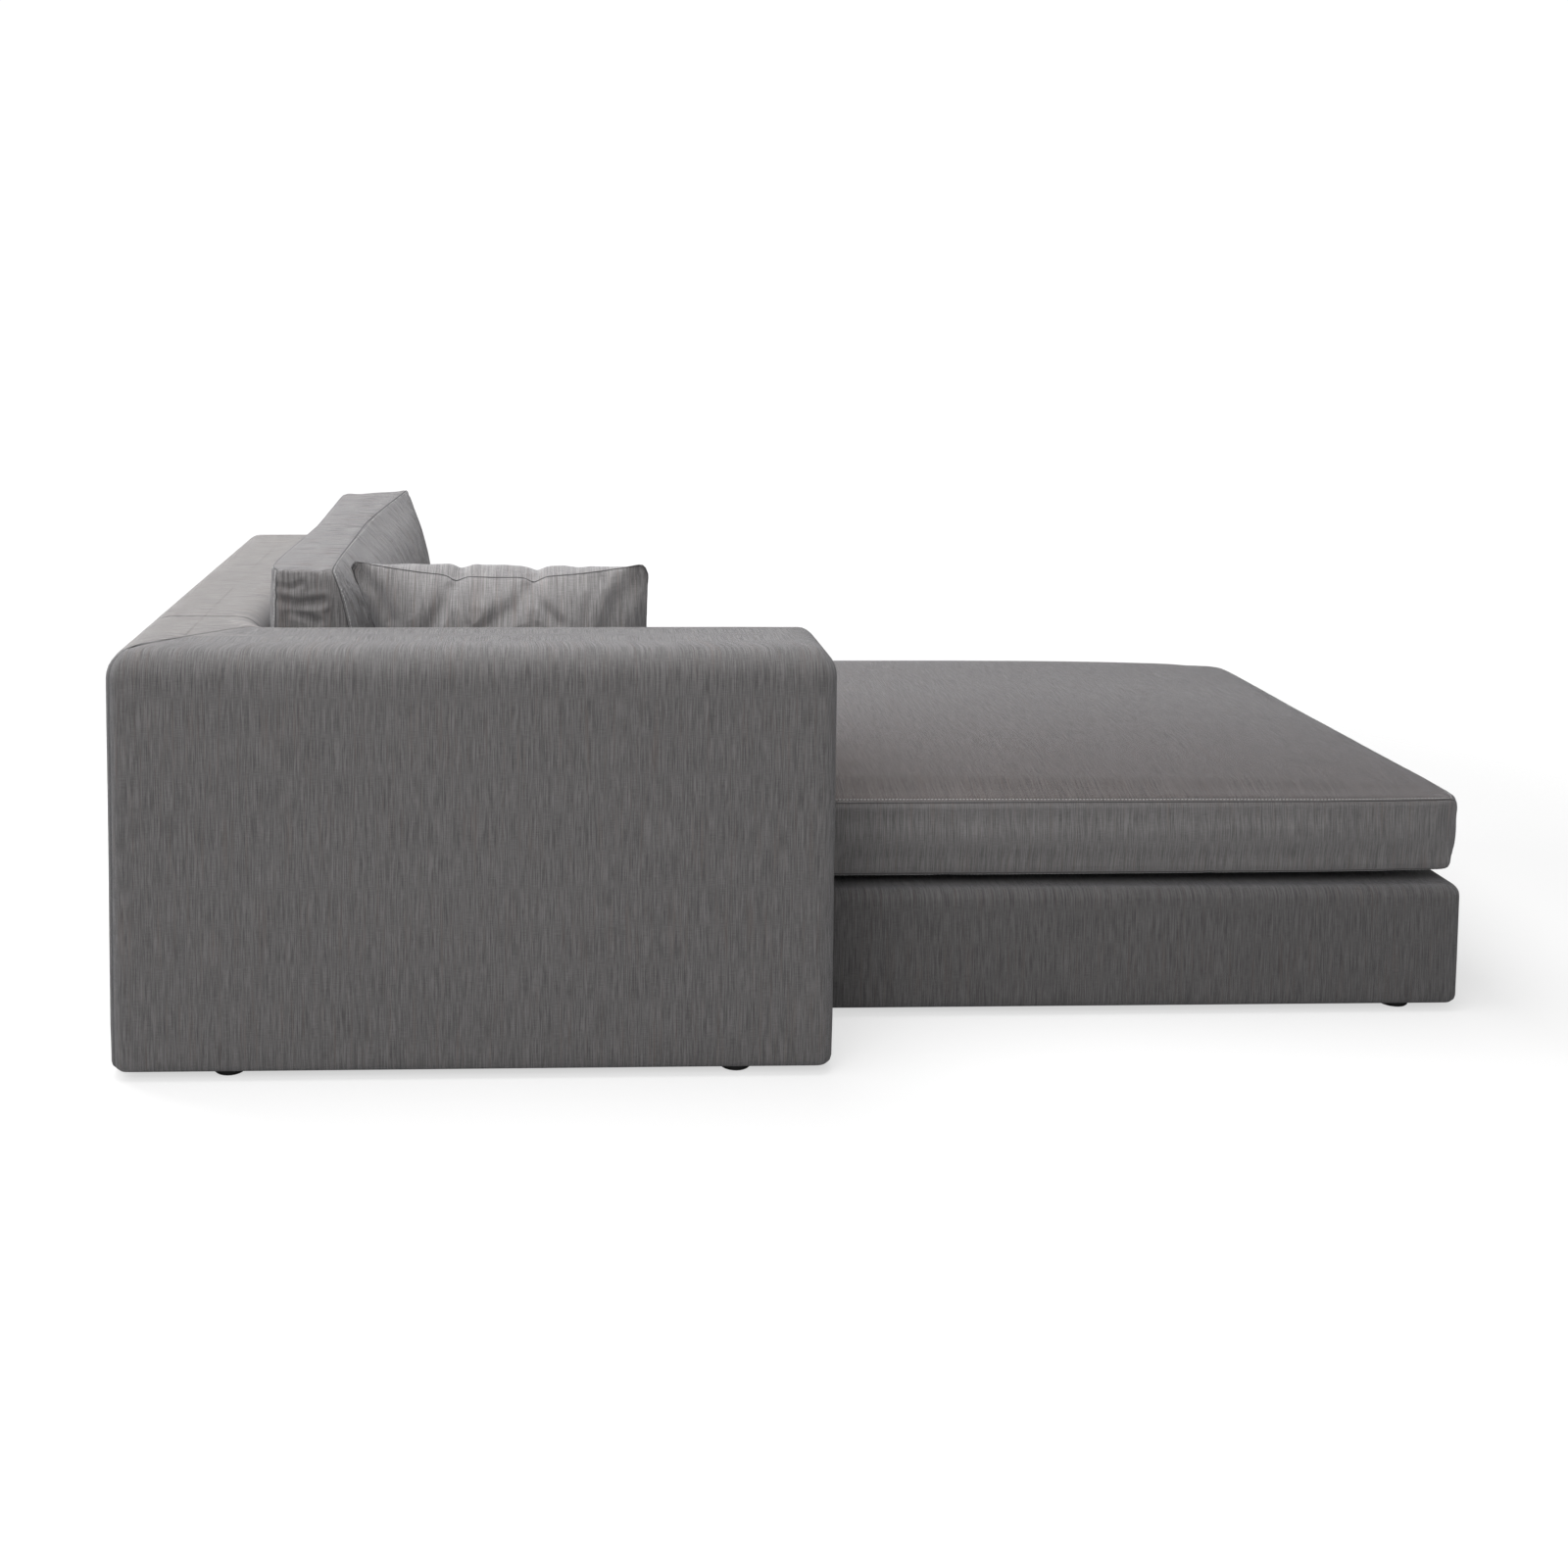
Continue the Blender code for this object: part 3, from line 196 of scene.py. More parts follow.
# Stage: each light's name, place, target, size and power
LIGHTS = (
    ("overhead", (-0.8, 0.0, 3.1), (-0.1, 0.1, 0.3), (3.2, 2.2), 98.0),
    ("left_window", (-3.0, 1.2, 1.8), (-0.7, 0.0, 0.6), (1.6, 1.6), 46.0),
    ("front_fill", (-1.3, -3.6, 2.9), (0.0, 0.0, 0.5), (3.0, 2.0), 76.0),
)
FLOOR_HALF = 12.0
FLOOR_GLOW = 0.62  # seen by the camera only
ROOM_STRENGTH = (0.30, 1.05)  # for the light that it gives, and as the camera sees it


def length_setting(name, description, default, low):
    return FloatProperty(name=name, description=description, default=default, min=low, unit="LENGTH")


def colour_setting(name, description, default):
    return FloatVectorProperty(name=name, description=description, subtype="COLOR", default=default)


class DaybedSizes(bpy.types.PropertyGroup):
    """Sizes of the sewing and of the weave that a user would change."""

    stitch_length: length_setting("Stitch length", "Length of one stitch of the topstitching", 0.0042, 0.001)
    stitch_pitch: length_setting("Stitch pitch", "Distance from one stitch to the next", 0.0056, 0.002)
    stitch_thickness: length_setting("Thread thickness", "Thickness of the sewing thread", 0.0007, 0.0002)
    topstitch_offset: length_setting("Topstitch offset", "Distance from seam to topstitching", 0.006, 0.001)
    seam_lip: length_setting("Seam lip", "Radius of the folded edge that shows along a seam", 0.0011, 0.0003)
    thread_pitch: length_setting("Thread pitch", "Distance between the weave's threads", 0.0009, 0.0003)


class DaybedColours(bpy.types.PropertyGroup):
    """Colours of the finishes that a user would change."""

    fabric_dark: colour_setting("Dark threads", "The upholstery's darkest threads", (0.100, 0.096, 0.097))
    fabric_light: colour_setting("Light threads", "The upholstery's lightest threads", (0.226, 0.218, 0.217))
    fabric_warm: colour_setting("Warm threads", "Brownish threads here and there", (0.165, 0.132, 0.120))
    sewing_thread: colour_setting("Sewing thread", "Colour of the topstitching", (0.070, 0.067, 0.068))
    timber: colour_setting("Timber", "Colour of the frame's planed timber", (0.52, 0.36, 0.20))
    foam: colour_setting("Foam", "Colour of the cushion foam", (0.78, 0.72, 0.52))


class Signal:
    """A socket in a material, for use in Python expressions."""

    def __init__(self, surface, socket):
        self.surface = surface
        self.socket = socket

    def _apply(self, operation, other):
        kind = "ShaderNodeVectorMath" if self.socket.type == "VECTOR" else "ShaderNodeMath"
        return self.surface.node(kind, {"operation": operation}, {0: self, 1: other})

    def __add__(self, other):
        return self._apply("ADD", other)

    def __sub__(self, other):
        return self._apply("SUBTRACT", other)

    def __mul__(self, other):
        return self._apply("MULTIPLY", other)

    def sine(self):
        return self.surface.node("ShaderNodeMath", {"operation": "SINE"}, {0: self})

    def size(self):
        return self.surface.node("ShaderNodeMath", {"operation": "ABSOLUTE"}, {0: self})

    def within(self, low, high, out_low=0.0, out_high=1.0):
        """Goes smoothly from out_low at low to out_high at high."""
        values = {"Value": self, "From Min": low, "From Max": high, "To Min": out_low, "To Max": out_high}
        return self.surface.node("ShaderNodeMapRange", {"interpolation_type": "SMOOTHSTEP"}, values)


class Surface:
    """A material, its shader and the nodes that feed it."""

    def __init__(self, name, slot):
        self.material = bpy.data.materials.new(name)
        self.material.use_nodes = True
        self.tree = self.material.node_tree
        self.shader = self.tree.nodes["Principled BSDF"]
        self.slot = slot

    def node(self, kind, settings=None, values=None, output=0):
        """Adds a node. Its settings are set first, then its sockets get values or links."""
        node = self.tree.nodes.new(kind)
        for key, value in (settings or {}).items():
            setattr(node, key, value)
        self.feed(node, values or {})
        return Signal(self, node.outputs[output])

    def feed(self, node, values):
        for key, value in values.items():
            socket = node.inputs[key]
            if isinstance(value, Signal):
                self.tree.links.new(value.socket, socket)
            elif socket.type == "RGBA" and len(value) == 3:
                socket.default_value = (*value, 1.0)
            else:
                socket.default_value = value

    def finish(self, height=None, distance=0.0, **values):
        """Sets the shader's sockets, and the bump where there is a height."""
        spelled = {"specular_ior_level": "Specular IOR Level", "base_colour": "Base Color"}
        named = {spelled.get(key, key.replace("_", " ").title()): value for key, value in values.items()}
        if height is not None:
            bump = {"Height": height, "Distance": distance, "Strength": 1.0}
            named["Normal"] = self.node("ShaderNodeBump", None, bump)
        self.feed(self.shader, named)
        return self

    def place(self):
        return self.node("ShaderNodeTexCoord", output=3)

    def weave(self):
        """The piece's own map: across the threads that show, and along them, in metres."""
        return self.node("ShaderNodeUVMap", {"uv_map": "weave"})

    def attribute(self, name):
        """A number that the mesh carries for each point."""
        return self.node("ShaderNodeAttribute", {"attribute_name": name}, output=2)

    def speckle(self, vector, scale, detail=2.0, roughness=0.5):
        """Noise with one scale, or with one for each axis."""
        scales = scale if isinstance(scale, tuple) else (scale,) * 3
        values = {"Vector": vector * scales, "Scale": 1.0, "Detail": detail, "Roughness": roughness}
        return self.node("ShaderNodeTexNoise", {"noise_dimensions": "3D"}, values)

    def cells(self, vector, scale, randomness=1.0):
        values = {"Vector": vector, "Scale": scale, "Randomness": randomness}
        return self.node("ShaderNodeTexVoronoi", None, values)

    def part(self, vector, axis):
        return self.node("ShaderNodeSeparateXYZ", None, {0: vector}, axis)

    def blend(self, share, first, second, mode="MIX"):
        node = self.tree.nodes.new("ShaderNodeMix")
        node.data_type = "RGBA"
        node.blend_type = mode
        self.feed(node, {0: share, 6: first, 7: second})
        return Signal(self, node.outputs[2])


def shade(colour, factor):
    """A colour made darker, or lighter up to white."""
    return tuple(min(1.0, factor * part) for part in colour)


def make_fabric(name, colours, thread_pitch, painted_light_tone, lustre=0.30):
    """Woven upholstery: fine streaks along the threads, slubs, a few warm threads, a soft sheen, painted
    shade in the seams' grooves, and painted light and shade from each piece's tone and on some tops."""
    surface = Surface(name, "grey_fabric")
    weave = surface.weave()
    thread = surface.speckle(weave, (1300.0, 36.0, 1.0), 3.0, 0.6)
    slub = surface.speckle(weave, (760.0, 18.0, 1.0))
    broad = surface.speckle(weave, (280.0, 7.0, 1.0))
    weft = surface.speckle(weave, (60.0, 1500.0, 1.0))
    cloud = surface.speckle(surface.place(), 2.6, 3.0)
    warm = surface.speckle(weave, (260.0, 7.0, 2.0)).within(0.53, 0.72)
    streaks = thread * 0.70 + slub * 0.76 + broad * 0.18 + weft * 0.30 + cloud * 0.06
    light = streaks.within(0.80, 1.20)
    line = surface.attribute("seam").size().within(*SEAM_LINE, 1.0, 0.0)
    # The tone scales the fabric's colours for each piece, to stand in for how much light falls on it:
    # painted light and painted shade
    dark = shade(colours.fabric_dark, painted_light_tone)
    base = surface.blend(light, dark, shade(colours.fabric_light, painted_light_tone))
    base = surface.blend(warm * WARM_SHARE, base, shade(colours.fabric_warm, painted_light_tone))
    # Painted shade: the seat cushion's top made darker and browner towards the camera
    base = surface.blend(surface.attribute("cross_cut"), base, PAINTED_SEAT_TOP_SHADE_TINT, "MULTIPLY")
    # Painted light: upward faces on the back made lighter, as the light from above falls on them
    base = surface.blend(surface.attribute("light_cut"), base, PAINTED_BACK_TOP_LIGHT_TINT, "MULTIPLY")
    # Painted shade in the grooves of the seams
    base = surface.blend(line * SEAM_SHADE_STRENGTH, base, shade(dark, 0.2))
    turn = 2 * math.pi / thread_pitch
    knots = (surface.part(weave, 0) * turn).sine() * (surface.part(weave, 1) * turn).sine()
    return surface.finish(
        knots * 0.32 + thread * 0.55 + slub * 0.5 + weft * 0.35 - line * 1.6,
        0.0006,
        base_colour=base,
        roughness=light.within(0.0, 1.0, 0.72, 0.58),
        sheen_weight=lustre,
        sheen_roughness=0.38,
        sheen_tint=(0.93, 0.94, 1.0, 1.0),
        specular_ior_level=0.34,
    )


def make_timber(name, slot, colour, grain=(6.0, 90.0, 90.0), rings=1.0):
    """Planed wood with its grain along the piece."""
    surface = Surface(name, slot)
    place = surface.place()
    long_grain = surface.speckle(place, grain, 6.0, 0.62)
    pores = surface.speckle(place, tuple(5.0 * part for part in grain), 3.0)
    share = (long_grain * (0.7 * rings) + pores * 0.3).within(0.3, 0.68)
    return surface.finish(
        pores * 0.4 + long_grain * 0.6,
        0.0004,
        base_colour=surface.blend(share, shade(colour, 0.66), shade(colour, 1.12)),
        roughness=share.within(0.0, 1.0, 0.66, 0.5),
        specular_ior_level=0.4,
    )


def make_foam(colour):
    """Open-cell foam, with small cells and a slightly yellowed outside."""
    surface = Surface("cell_foam", "cream_foam")
    place = surface.place()
    cells = surface.cells(place, 620.0)
    base = surface.blend(surface.speckle(place, 7.0, 3.0), shade(colour, 0.86), colour)
    base = surface.blend(cells.within(0.0, 0.5, 0.35, 0.0), base, shade(colour, 0.6))
    return surface.finish(cells, 0.0008, base_colour=base, roughness=0.95, specular_ior_level=0.15)


def make_lining():
    """Black non-woven lining, with its pressed dots."""
    surface = Surface("pressed_lining", "black_lining")
    place = surface.place()
    dots = surface.cells(place, 520.0, 0.25)
    fibres = surface.speckle(place, 900.0)
    base = surface.blend(fibres, (0.012, 0.012, 0.013), (0.040, 0.040, 0.043))
    height = dots * 0.6 + fibres * 0.4
    return surface.finish(height, 0.0004, base_colour=base, roughness=0.93, sheen_weight=0.1)


def make_webbing():
    """Elastic webbing: a ribbed band of pale and brownish yarns."""
    surface = Surface("ribbed_webbing", "elastic_webbing")
    place = surface.place()
    ribs = (surface.part(place, 0) * 2100.0).sine() * 0.5 + (surface.part(place, 1) * 2100.0).sine() * 0.5
    speck = surface.speckle(place, 240.0)
    base = surface.blend(speck, (0.22, 0.185, 0.14), (0.40, 0.355, 0.28))
    return surface.finish(ribs + speck, 0.0005, base_colour=base, roughness=0.86, specular_ior_level=0.25)


def make_plastic():
    """Black moulded plastic with a fine grained finish and rubbed spots."""
    surface = Surface("moulded_plastic", "black_plastic")
    place = surface.place()
    rub = surface.speckle(place, 60.0, 4.0).within(0.55, 0.75)
    base = surface.blend(rub, (0.012, 0.012, 0.013), (0.045, 0.045, 0.047))
    roughness = rub.within(0.0, 1.0, 0.42, 0.62)
    return surface.finish(surface.speckle(place, 1500.0), 0.0002, base_colour=base, roughness=roughness)


def make_zinc():
    """Zinc-plated steel, slightly clouded."""
    surface = Surface("clouded_zinc", "zinc_steel")
    place = surface.place()
    cloud = surface.speckle(place, 130.0, 4.0)
    scratch = surface.speckle(place, (2400.0, 300.0, 300.0))
    base = surface.blend(cloud, (0.50, 0.51, 0.53), (0.72, 0.72, 0.70))
    roughness = cloud.within(0.3, 0.7, 0.26, 0.44)
    return surface.finish(scratch, 0.0001, base_colour=base, metallic=1.0, roughness=roughness)


def make_zip_tape():
    """Woven zip tape with its moulded coil."""
    surface = Surface("zip_tape_and_coil", "zip_tape")
    place = surface.place()
    teeth = (surface.part(place, 1) * 4200.0).sine()
    fibre = surface.speckle(place, 700.0)
    base = surface.blend(fibre, (0.040, 0.040, 0.042), (0.085, 0.084, 0.086))
    height = teeth * 0.7 + fibre * 0.3
    return surface.finish(height, 0.0005, base_colour=base, roughness=0.7, sheen_weight=0.15)


def make_thread(colour):
    """Twisted sewing thread."""
    surface = Surface("sewing_thread", "grey_fabric")
    twist = surface.speckle(surface.place(), 2600.0, 1.0)
    base = surface.blend(twist, shade(colour, 0.75), shade(colour, 1.35))
    return surface.finish(twist, 0.0002, base_colour=base, roughness=0.6, sheen_weight=0.25)


def quarter(steps):
    """Even angles from 0 to a right angle."""
    return [math.pi / 2 * step / steps for step in range(steps + 1)]


def even_shares(length, cell):
    """Shares of a length, above 0 and up to 1, in even steps of about one cell."""
    pieces = max(1, round(length / cell))
    return [step / pieces for step in range(1, pieces + 1)]


def plan_ring(plan, inset):
    """The plan's outline drawn in by inset, with round corners and even points between them. Every
    inset gives as many points, and each comes with its distance along the whole outline."""
    corners = []
    for index, (x, y, radius) in enumerate(plan):
        before, after = plan[index - 1], plan[(index + 1) % len(plan)]
        arriving = Vector((x - before[0], y - before[1])).normalized()
        leaving = Vector((after[0] - x, after[1] - y)).normalized()
        first, second = Vector((-arriving.y, arriving.x)), Vector((-leaving.y, leaving.x))
        if radius < 0:
            reach, arc = radius, inset - radius
        else:
            reach, arc = max(radius, inset), min(inset - radius, 0.0)
        centre = Vector((x, y)) + reach * (first + second)
        arms = [first * math.cos(angle) + second * math.sin(angle) for angle in quarter(ARC_STEPS)]
        corners.append([centre + arc * arm for arm in arms])
    points, along, run = [], [], 0.0
    for index, turn in enumerate(corners):
        after = (index + 1) % len(plan)
        here, there = plan[index], plan[after]
        side = math.hypot(there[0] - here[0], there[1] - here[1])
        points += turn
        along += [run + abs(here[2]) * angle for angle in quarter(ARC_STEPS)]
        run = along[-1]
        for share in even_shares(side, WALL_CELL)[:-1]:
            points.append(turn[-1].lerp(corners[after][0], share))
            along.append(run + side * share)
        run += side
    return points, along


def wall_rings(low, high, top_radius, top_reach):
    """Insets, heights and distances along the profile, from the lip under a wall to the middle of
    its top, and how many of the rows lie below the flat of the top."""
    rows = [(COVER_LIP, low, HEM_RADIUS - COVER_LIP)]
    for angle in quarter(HEM_STEPS):
        inset, rise = HEM_RADIUS * (1 - math.sin(angle)), HEM_RADIUS * (1 - math.cos(angle))
        rows.append((inset, low + rise, HEM_RADIUS * angle))
    side_low, side_high, run = low + HEM_RADIUS, high - top_radius, rows[-1][2]
    for share in even_shares(side_high - side_low, WALL_CELL):
        rise = (side_high - side_low) * share
        rows.append((0.0, side_low + rise, run + rise))
    run = rows[-1][2]
    for angle in quarter(ARC_STEPS)[1:]:
        inset, drop = top_radius * (1 - math.cos(angle)), top_radius * (1 - math.sin(angle))
        rows.append((inset, high - drop, run + top_radius * angle))
    rounded, run = len(rows), rows[-1][2]
    for share in even_shares(top_reach - top_radius, TOP_CELL):
        further = (top_reach - top_radius) * share
        rows.append((top_radius + further, high, run + further))
    return rows, rounded


def add_object(name, data):
    """A new object in the scene."""
    thing = bpy.data.objects.new(name, data)
    bpy.context.scene.collection.objects.link(thing)
    return thing


def mesh_object(name, points, faces, edges=()):
    """An object at the origin with these points, faces and edges."""
    mesh = bpy.data.meshes.new(name)
    mesh.from_pydata([tuple(point) for point in points], edges, faces)
    mesh.update()
    return add_object(name, mesh)


def read(items, name, size, kind):
    """Reads one property of a mesh's points, corners or faces."""
    values = np.empty(len(items) * size, dtype=kind)
    items.foreach_get(name, values)
    return values


def loops_of(mesh):
    """Each face corner's point and face, and each face's first corner."""
    corners = read(mesh.loops, "vertex_index", 1, np.int64)
    starts, totals = (read(mesh.polygons, name, 1, np.int64) for name in ("loop_start", "loop_total"))
    return corners, np.repeat(np.arange(len(totals)), totals), starts


def write_weave(mesh, across, along):
    """Writes the piece's own map: metres across and along the threads, for each face corner."""
    layer = mesh.uv_layers.new(name="weave")
    layer.data.foreach_set("uv", np.column_stack((across, along)).astype(np.float32).ravel())


def write_field(mesh, name, values):
    """Writes one number for each point."""
    field = mesh.attributes.new(name, "FLOAT", "POINT")
    field.data.foreach_set("value", np.ascontiguousarray(values, dtype=np.float32))


def points_of(mesh):
    return read(mesh.vertices, "co", 3, float).reshape(-1, 3)


def normals_of(mesh):
    return read(mesh.vertex_normals, "vector", 3, np.float32).reshape(-1, 3).astype(float)


def set_points(mesh, points):
    mesh.vertices.foreach_set("co", np.asarray(points, dtype=np.float32).ravel())
    mesh.update()


def push(mesh, amounts):
    """Moves each point along its normal."""
    set_points(mesh, points_of(mesh) + normals_of(mesh) * amounts[:, None])


def fold_noise(points, scale, seed, octaves=3):
    """Smooth noise from -1 to 1 at each point, on a stretched lattice."""
    shift = Vector((seed * 7.31, seed * 3.17, seed * 5.53))
    scale = Vector(scale)
    return np.array([noise.fractal(Vector(point) * scale + shift, 0.55, 2.0, octaves) for point in points])


def evaluated_mesh(thing, **options):
    """A new mesh from an object and its modifiers."""
    bpy.context.view_layer.update()
    graph = bpy.context.evaluated_depsgraph_get()
    return bpy.data.meshes.new_from_object(thing.evaluated_get(graph), depsgraph=graph, **options)


def finish_mesh(thing):
    """Turns an object and its modifiers into a plain mesh, and takes the modifiers off."""
    mesh = evaluated_mesh(thing, preserve_all_data_layers=True)
    mesh.name = thing.name
    thing.modifiers.clear()
    thing.data = mesh
    return thing


def dress(thing, surface, body, *replaced):
    """Gives a piece its material and its body, and hides the nodes that it stands for."""
    thing.data.materials.clear()
    thing.data.materials.append(surface.material)
    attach(thing, body)
    if replaced:
        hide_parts(*replaced)
    return thing


def polyline_distance(points, line):
    """The signed distance of flat points to a line of flat corners, above zero to its left."""
    best = np.full(len(points), 1e9)
    signed = np.zeros(len(points))
    for start, end in zip(line, line[1:]):
        start, end = np.array(start), np.array(end)
        along = end - start
        length = np.linalg.norm(along)
        along = along / length
        offset = points - start
        share = np.clip(offset @ along, 0, length)
        gap = offset - share[:, None] * along
        distance = np.linalg.norm(gap, axis=1)
        side = np.sign(along[0] * offset[:, 1] - along[1] * offset[:, 0])
        closer = distance < best
        best[closer] = distance[closer]
        signed[closer] = (distance * side)[closer]
    return signed


def build_shell(name, plan, low, high, top_radius, top_reach):
    """A fabric skin over a padded wall, from the lip below it to the middle of its top."""
    rows, rounded = wall_rings(low, high, top_radius, top_reach)
    points, along, profile = [], [], []
    for inset, height, run in rows:
        ring, distances = plan_ring(plan, inset)
        points += [(point.x, point.y, height) for point in ring]
        along += distances
        profile += [run] * len(ring)
    count = len(points) // len(rows)
    top = len(points) - count
    faces = []
    for low_row in range(0, top, count):
        for k in range(count):
            after, high_row = (k + 1) % count, low_row + count
            faces.append((low_row + k, low_row + after, high_row + after, high_row + k))
    faces.append(tuple(range(top, top + count)))
    thing = mesh_object(name, points, faces)
    return thing, np.array(along), np.array(profile), rounded * count, count


def map_skin(mesh, along, profile, top_start, count, turned):
    """Maps a wall: its sides along the outline, unbroken where that closes, and up the profile, and
    its top by flat places. On top the threads turn where a face's sum of turned isn't below zero."""
    corners, faces, starts = loops_of(mesh)
    column = corners % count
    closing = np.maximum.reduceat(column, starts)[faces] == count - 1
    run = np.where(closing & (column == 0), along.max() + WALL_CELL, along[corners])
    on_top = np.minimum.reduceat(corners, starts)[faces] >= top_start
    straight = np.add.reduceat(turned[corners], starts)[faces] < 0
    x, y = points_of(mesh)[corners, :2].T
    across = np.where(on_top, np.where(straight, x, y), run)
    write_weave(mesh, across, np.where(on_top, np.where(straight, y, x), profile[corners]))


def fit_skin(thing, corner, seed, slack, low, high):
    """Lets a wall's stretched fabric swell a little and unevenly over its padding, except under the
    piece, moves it to its corner, keeps it between low and high, and gives it its thickness."""
    mesh = thing.data
    points = points_of(mesh)
    swell = 0.5 + 0.5 * fold_noise(points, (2.6, 2.6, 3.4), seed, 2)
    ripple = 0.5 + 0.5 * fold_noise(points, (9.0, 9.0, 2.0), seed + 3, 2)
    share = np.clip((points[:, 2] - corner[2] - 0.02) / 0.05, 0, 1)
    push(mesh, slack * share * (0.7 * swell + 0.3 * ripple))
    set_points(mesh, np.clip(points_of(mesh) + (corner[0], corner[1], 0.0), low, high))
    mesh.shade_smooth()
    solid = thing.modifiers.new("thickness", "SOLIDIFY")
    solid.thickness = COVER_THICKNESS
    solid.offset = -1.0
    finish_mesh(thing)


def make_walls(surface):
    """The skin of arm, mitred corner and back."""
    length, thickness = ARM_HIGH.x - CORNER_LOW.x, ARM_HIGH.y - ARM_LOW.y
    depth, width = BACK_HIGH.x - CORNER_LOW.x, BACK_HIGH.y - ARM_LOW.y
    radius = WALL_CORNER_RADIUS
    plan = [
        (0.0, 0.0, radius),
        (length, 0.0, radius),
        (length, thickness, radius),
        (depth, thickness, -HOLLOW_CORNER_RADIUS),
        (depth, width, radius),
        (0.0, width, radius),
    ]
    reach = min(depth, thickness) / 2 - 0.0006
    thing, *layout = build_shell("wall_upholstery", plan, ARM_LOW.z, ARM_HIGH.z, WALL_TOP_RADIUS, reach)
    mesh = thing.data
    flat = points_of(mesh)[:, :2]
    bend = (depth * MITRE_STRAIGHT_SHARE, thickness * MITRE_STRAIGHT_SHARE)
    end = (depth + HOLLOW_CORNER_RADIUS + 0.004, thickness)
    mitre = polyline_distance(flat, [(-0.1, -0.1), bend, end, (end[0], end[1] + 0.05)])
    cross = np.where(flat[:, 0] < depth + 0.001, BACK_LOW.y - ARM_LOW.y - flat[:, 1], 1.0)
    seam = np.where(np.abs(mitre) < np.abs(cross), mitre, cross)
    write_field(mesh, "seam", seam * WALL_SEAM_SCALE)
    map_skin(mesh, *layout, mitre)
    # Painted light: upward faces on the back's side of the mitre, for the fabric to make lighter
    facing_up = np.clip(normals_of(mesh)[:, 2] * 2 - 0.9, 0, 1)
    write_field(mesh, "light_cut", np.where(mitre > 0, facing_up, 0.0))
    push(mesh, -WALL_GROOVE * np.exp(-((seam / WALL_GROOVE_WIDTH) ** 2)))
    low, high = np.array(CAD_BOX[0]) - (PROUD, PROUD, 0.0), np.array(CAD_BOX[1]) + PROUD
    fit_skin(thing, (CORNER_LOW.x, ARM_LOW.y, ARM_LOW.z), 1, SLACK, low, high)
    return dress(thing, surface, "frame", "arm_cover", "corner_cover", "back_cover")


def make_base(surface):
    """The skin of the low base and its deck."""
    length, width = BASE_HIGH.x - BASE_LOW.x, BASE_HIGH.y - BASE_LOW.y
    radius = WALL_CORNER_RADIUS
    plan = [(length, 0.0, radius), (length, width, radius), (0.0, width, radius)]
    plan.insert(0, (0.0, 0.0, HOLLOW_CORNER_RADIUS))
    heights = (BASE_LOW.z, BASE_HIGH.z)
    thing, *layout = build_shell("base_upholstery", plan, *heights, BASE_TOP_RADIUS, DECK_REACH)
    mesh = thing.data
    x, y, z = points_of(mesh).T
    inside = np.minimum.reduce([x, length - x, y, width - y])
    write_field(mesh, "seam", np.where(z > BASE_HIGH.z - BASE_LOW.z, inside - DECK_SEAM_INSET, 1.0))
    map_skin(mesh, *layout, np.full(len(x), -1.0))
    low, high = (BASE_LOW.x, -np.inf, -np.inf), (BASE_HIGH.x + PROUD, np.inf, BASE_HIGH.z)
    fit_skin(thing, BASE_LOW, 5, BASE_SLACK, low, high)
    return dress(thing, surface, "frame", "base_cover")


def spread(cells):
    """Places from -1 to 1 that lie closer together towards both ends."""
    return [math.sin(math.pi / 2 * (2 * k / cells - 1)) for k in range(cells + 1)]


def crown(u, v, edge_power=3.0, round_power=0.55):
    """The share of its crown that a stuffed form reaches, from 0 on its seams to 1 in the middle."""
    return (max(0.0, 1 - abs(u) ** edge_power) * max(0.0, 1 - abs(v) ** edge_power)) ** round_power


def end_share(t):
    return math.copysign(abs(t) ** 8, t)


def clamp(value, low, high):
    return max(low, min(high, value))


def between(ends, share):
    return ends[0] + share * (ends[1] - ends[0])


BACK_FACE, ARM_FACE = BACK_HIGH.x, ARM_HIGH.y
SEAT_START = (SEAT_LOW.x, ARM_FACE + 0.004)
SEAT_END = (BASE_HIGH.x - 0.009, BASE_HIGH.y - 0.007)
SEAT_MIDDLE = tuple((start + end) / 2 for start, end in zip(SEAT_START, SEAT_END))
SEAT_HALF = tuple((end - start) / 2 for start, end in zip(SEAT_START, SEAT_END))
REST_NEAR, REST_FAR = ARM_FACE + 0.010, BACK_HIGH.y - 0.016
REST_HALF = (REST_FAR - REST_NEAR) / 2


def clear_of_corner(x, y, inset, clearance):
    """Keeps a cushion's corner inside the hollow corner of arm and back."""
    centre = Vector((BACK_FACE + HOLLOW_CORNER_RADIUS, ARM_FACE + HOLLOW_CORNER_RADIUS))
    offset = Vector((x, y)) - centre
    reach = HOLLOW_CORNER_RADIUS - clearance - inset
    if offset.x < 0 and offset.y < 0 and offset.length > reach:
        offset *= reach / offset.length
    return tuple(centre + offset)


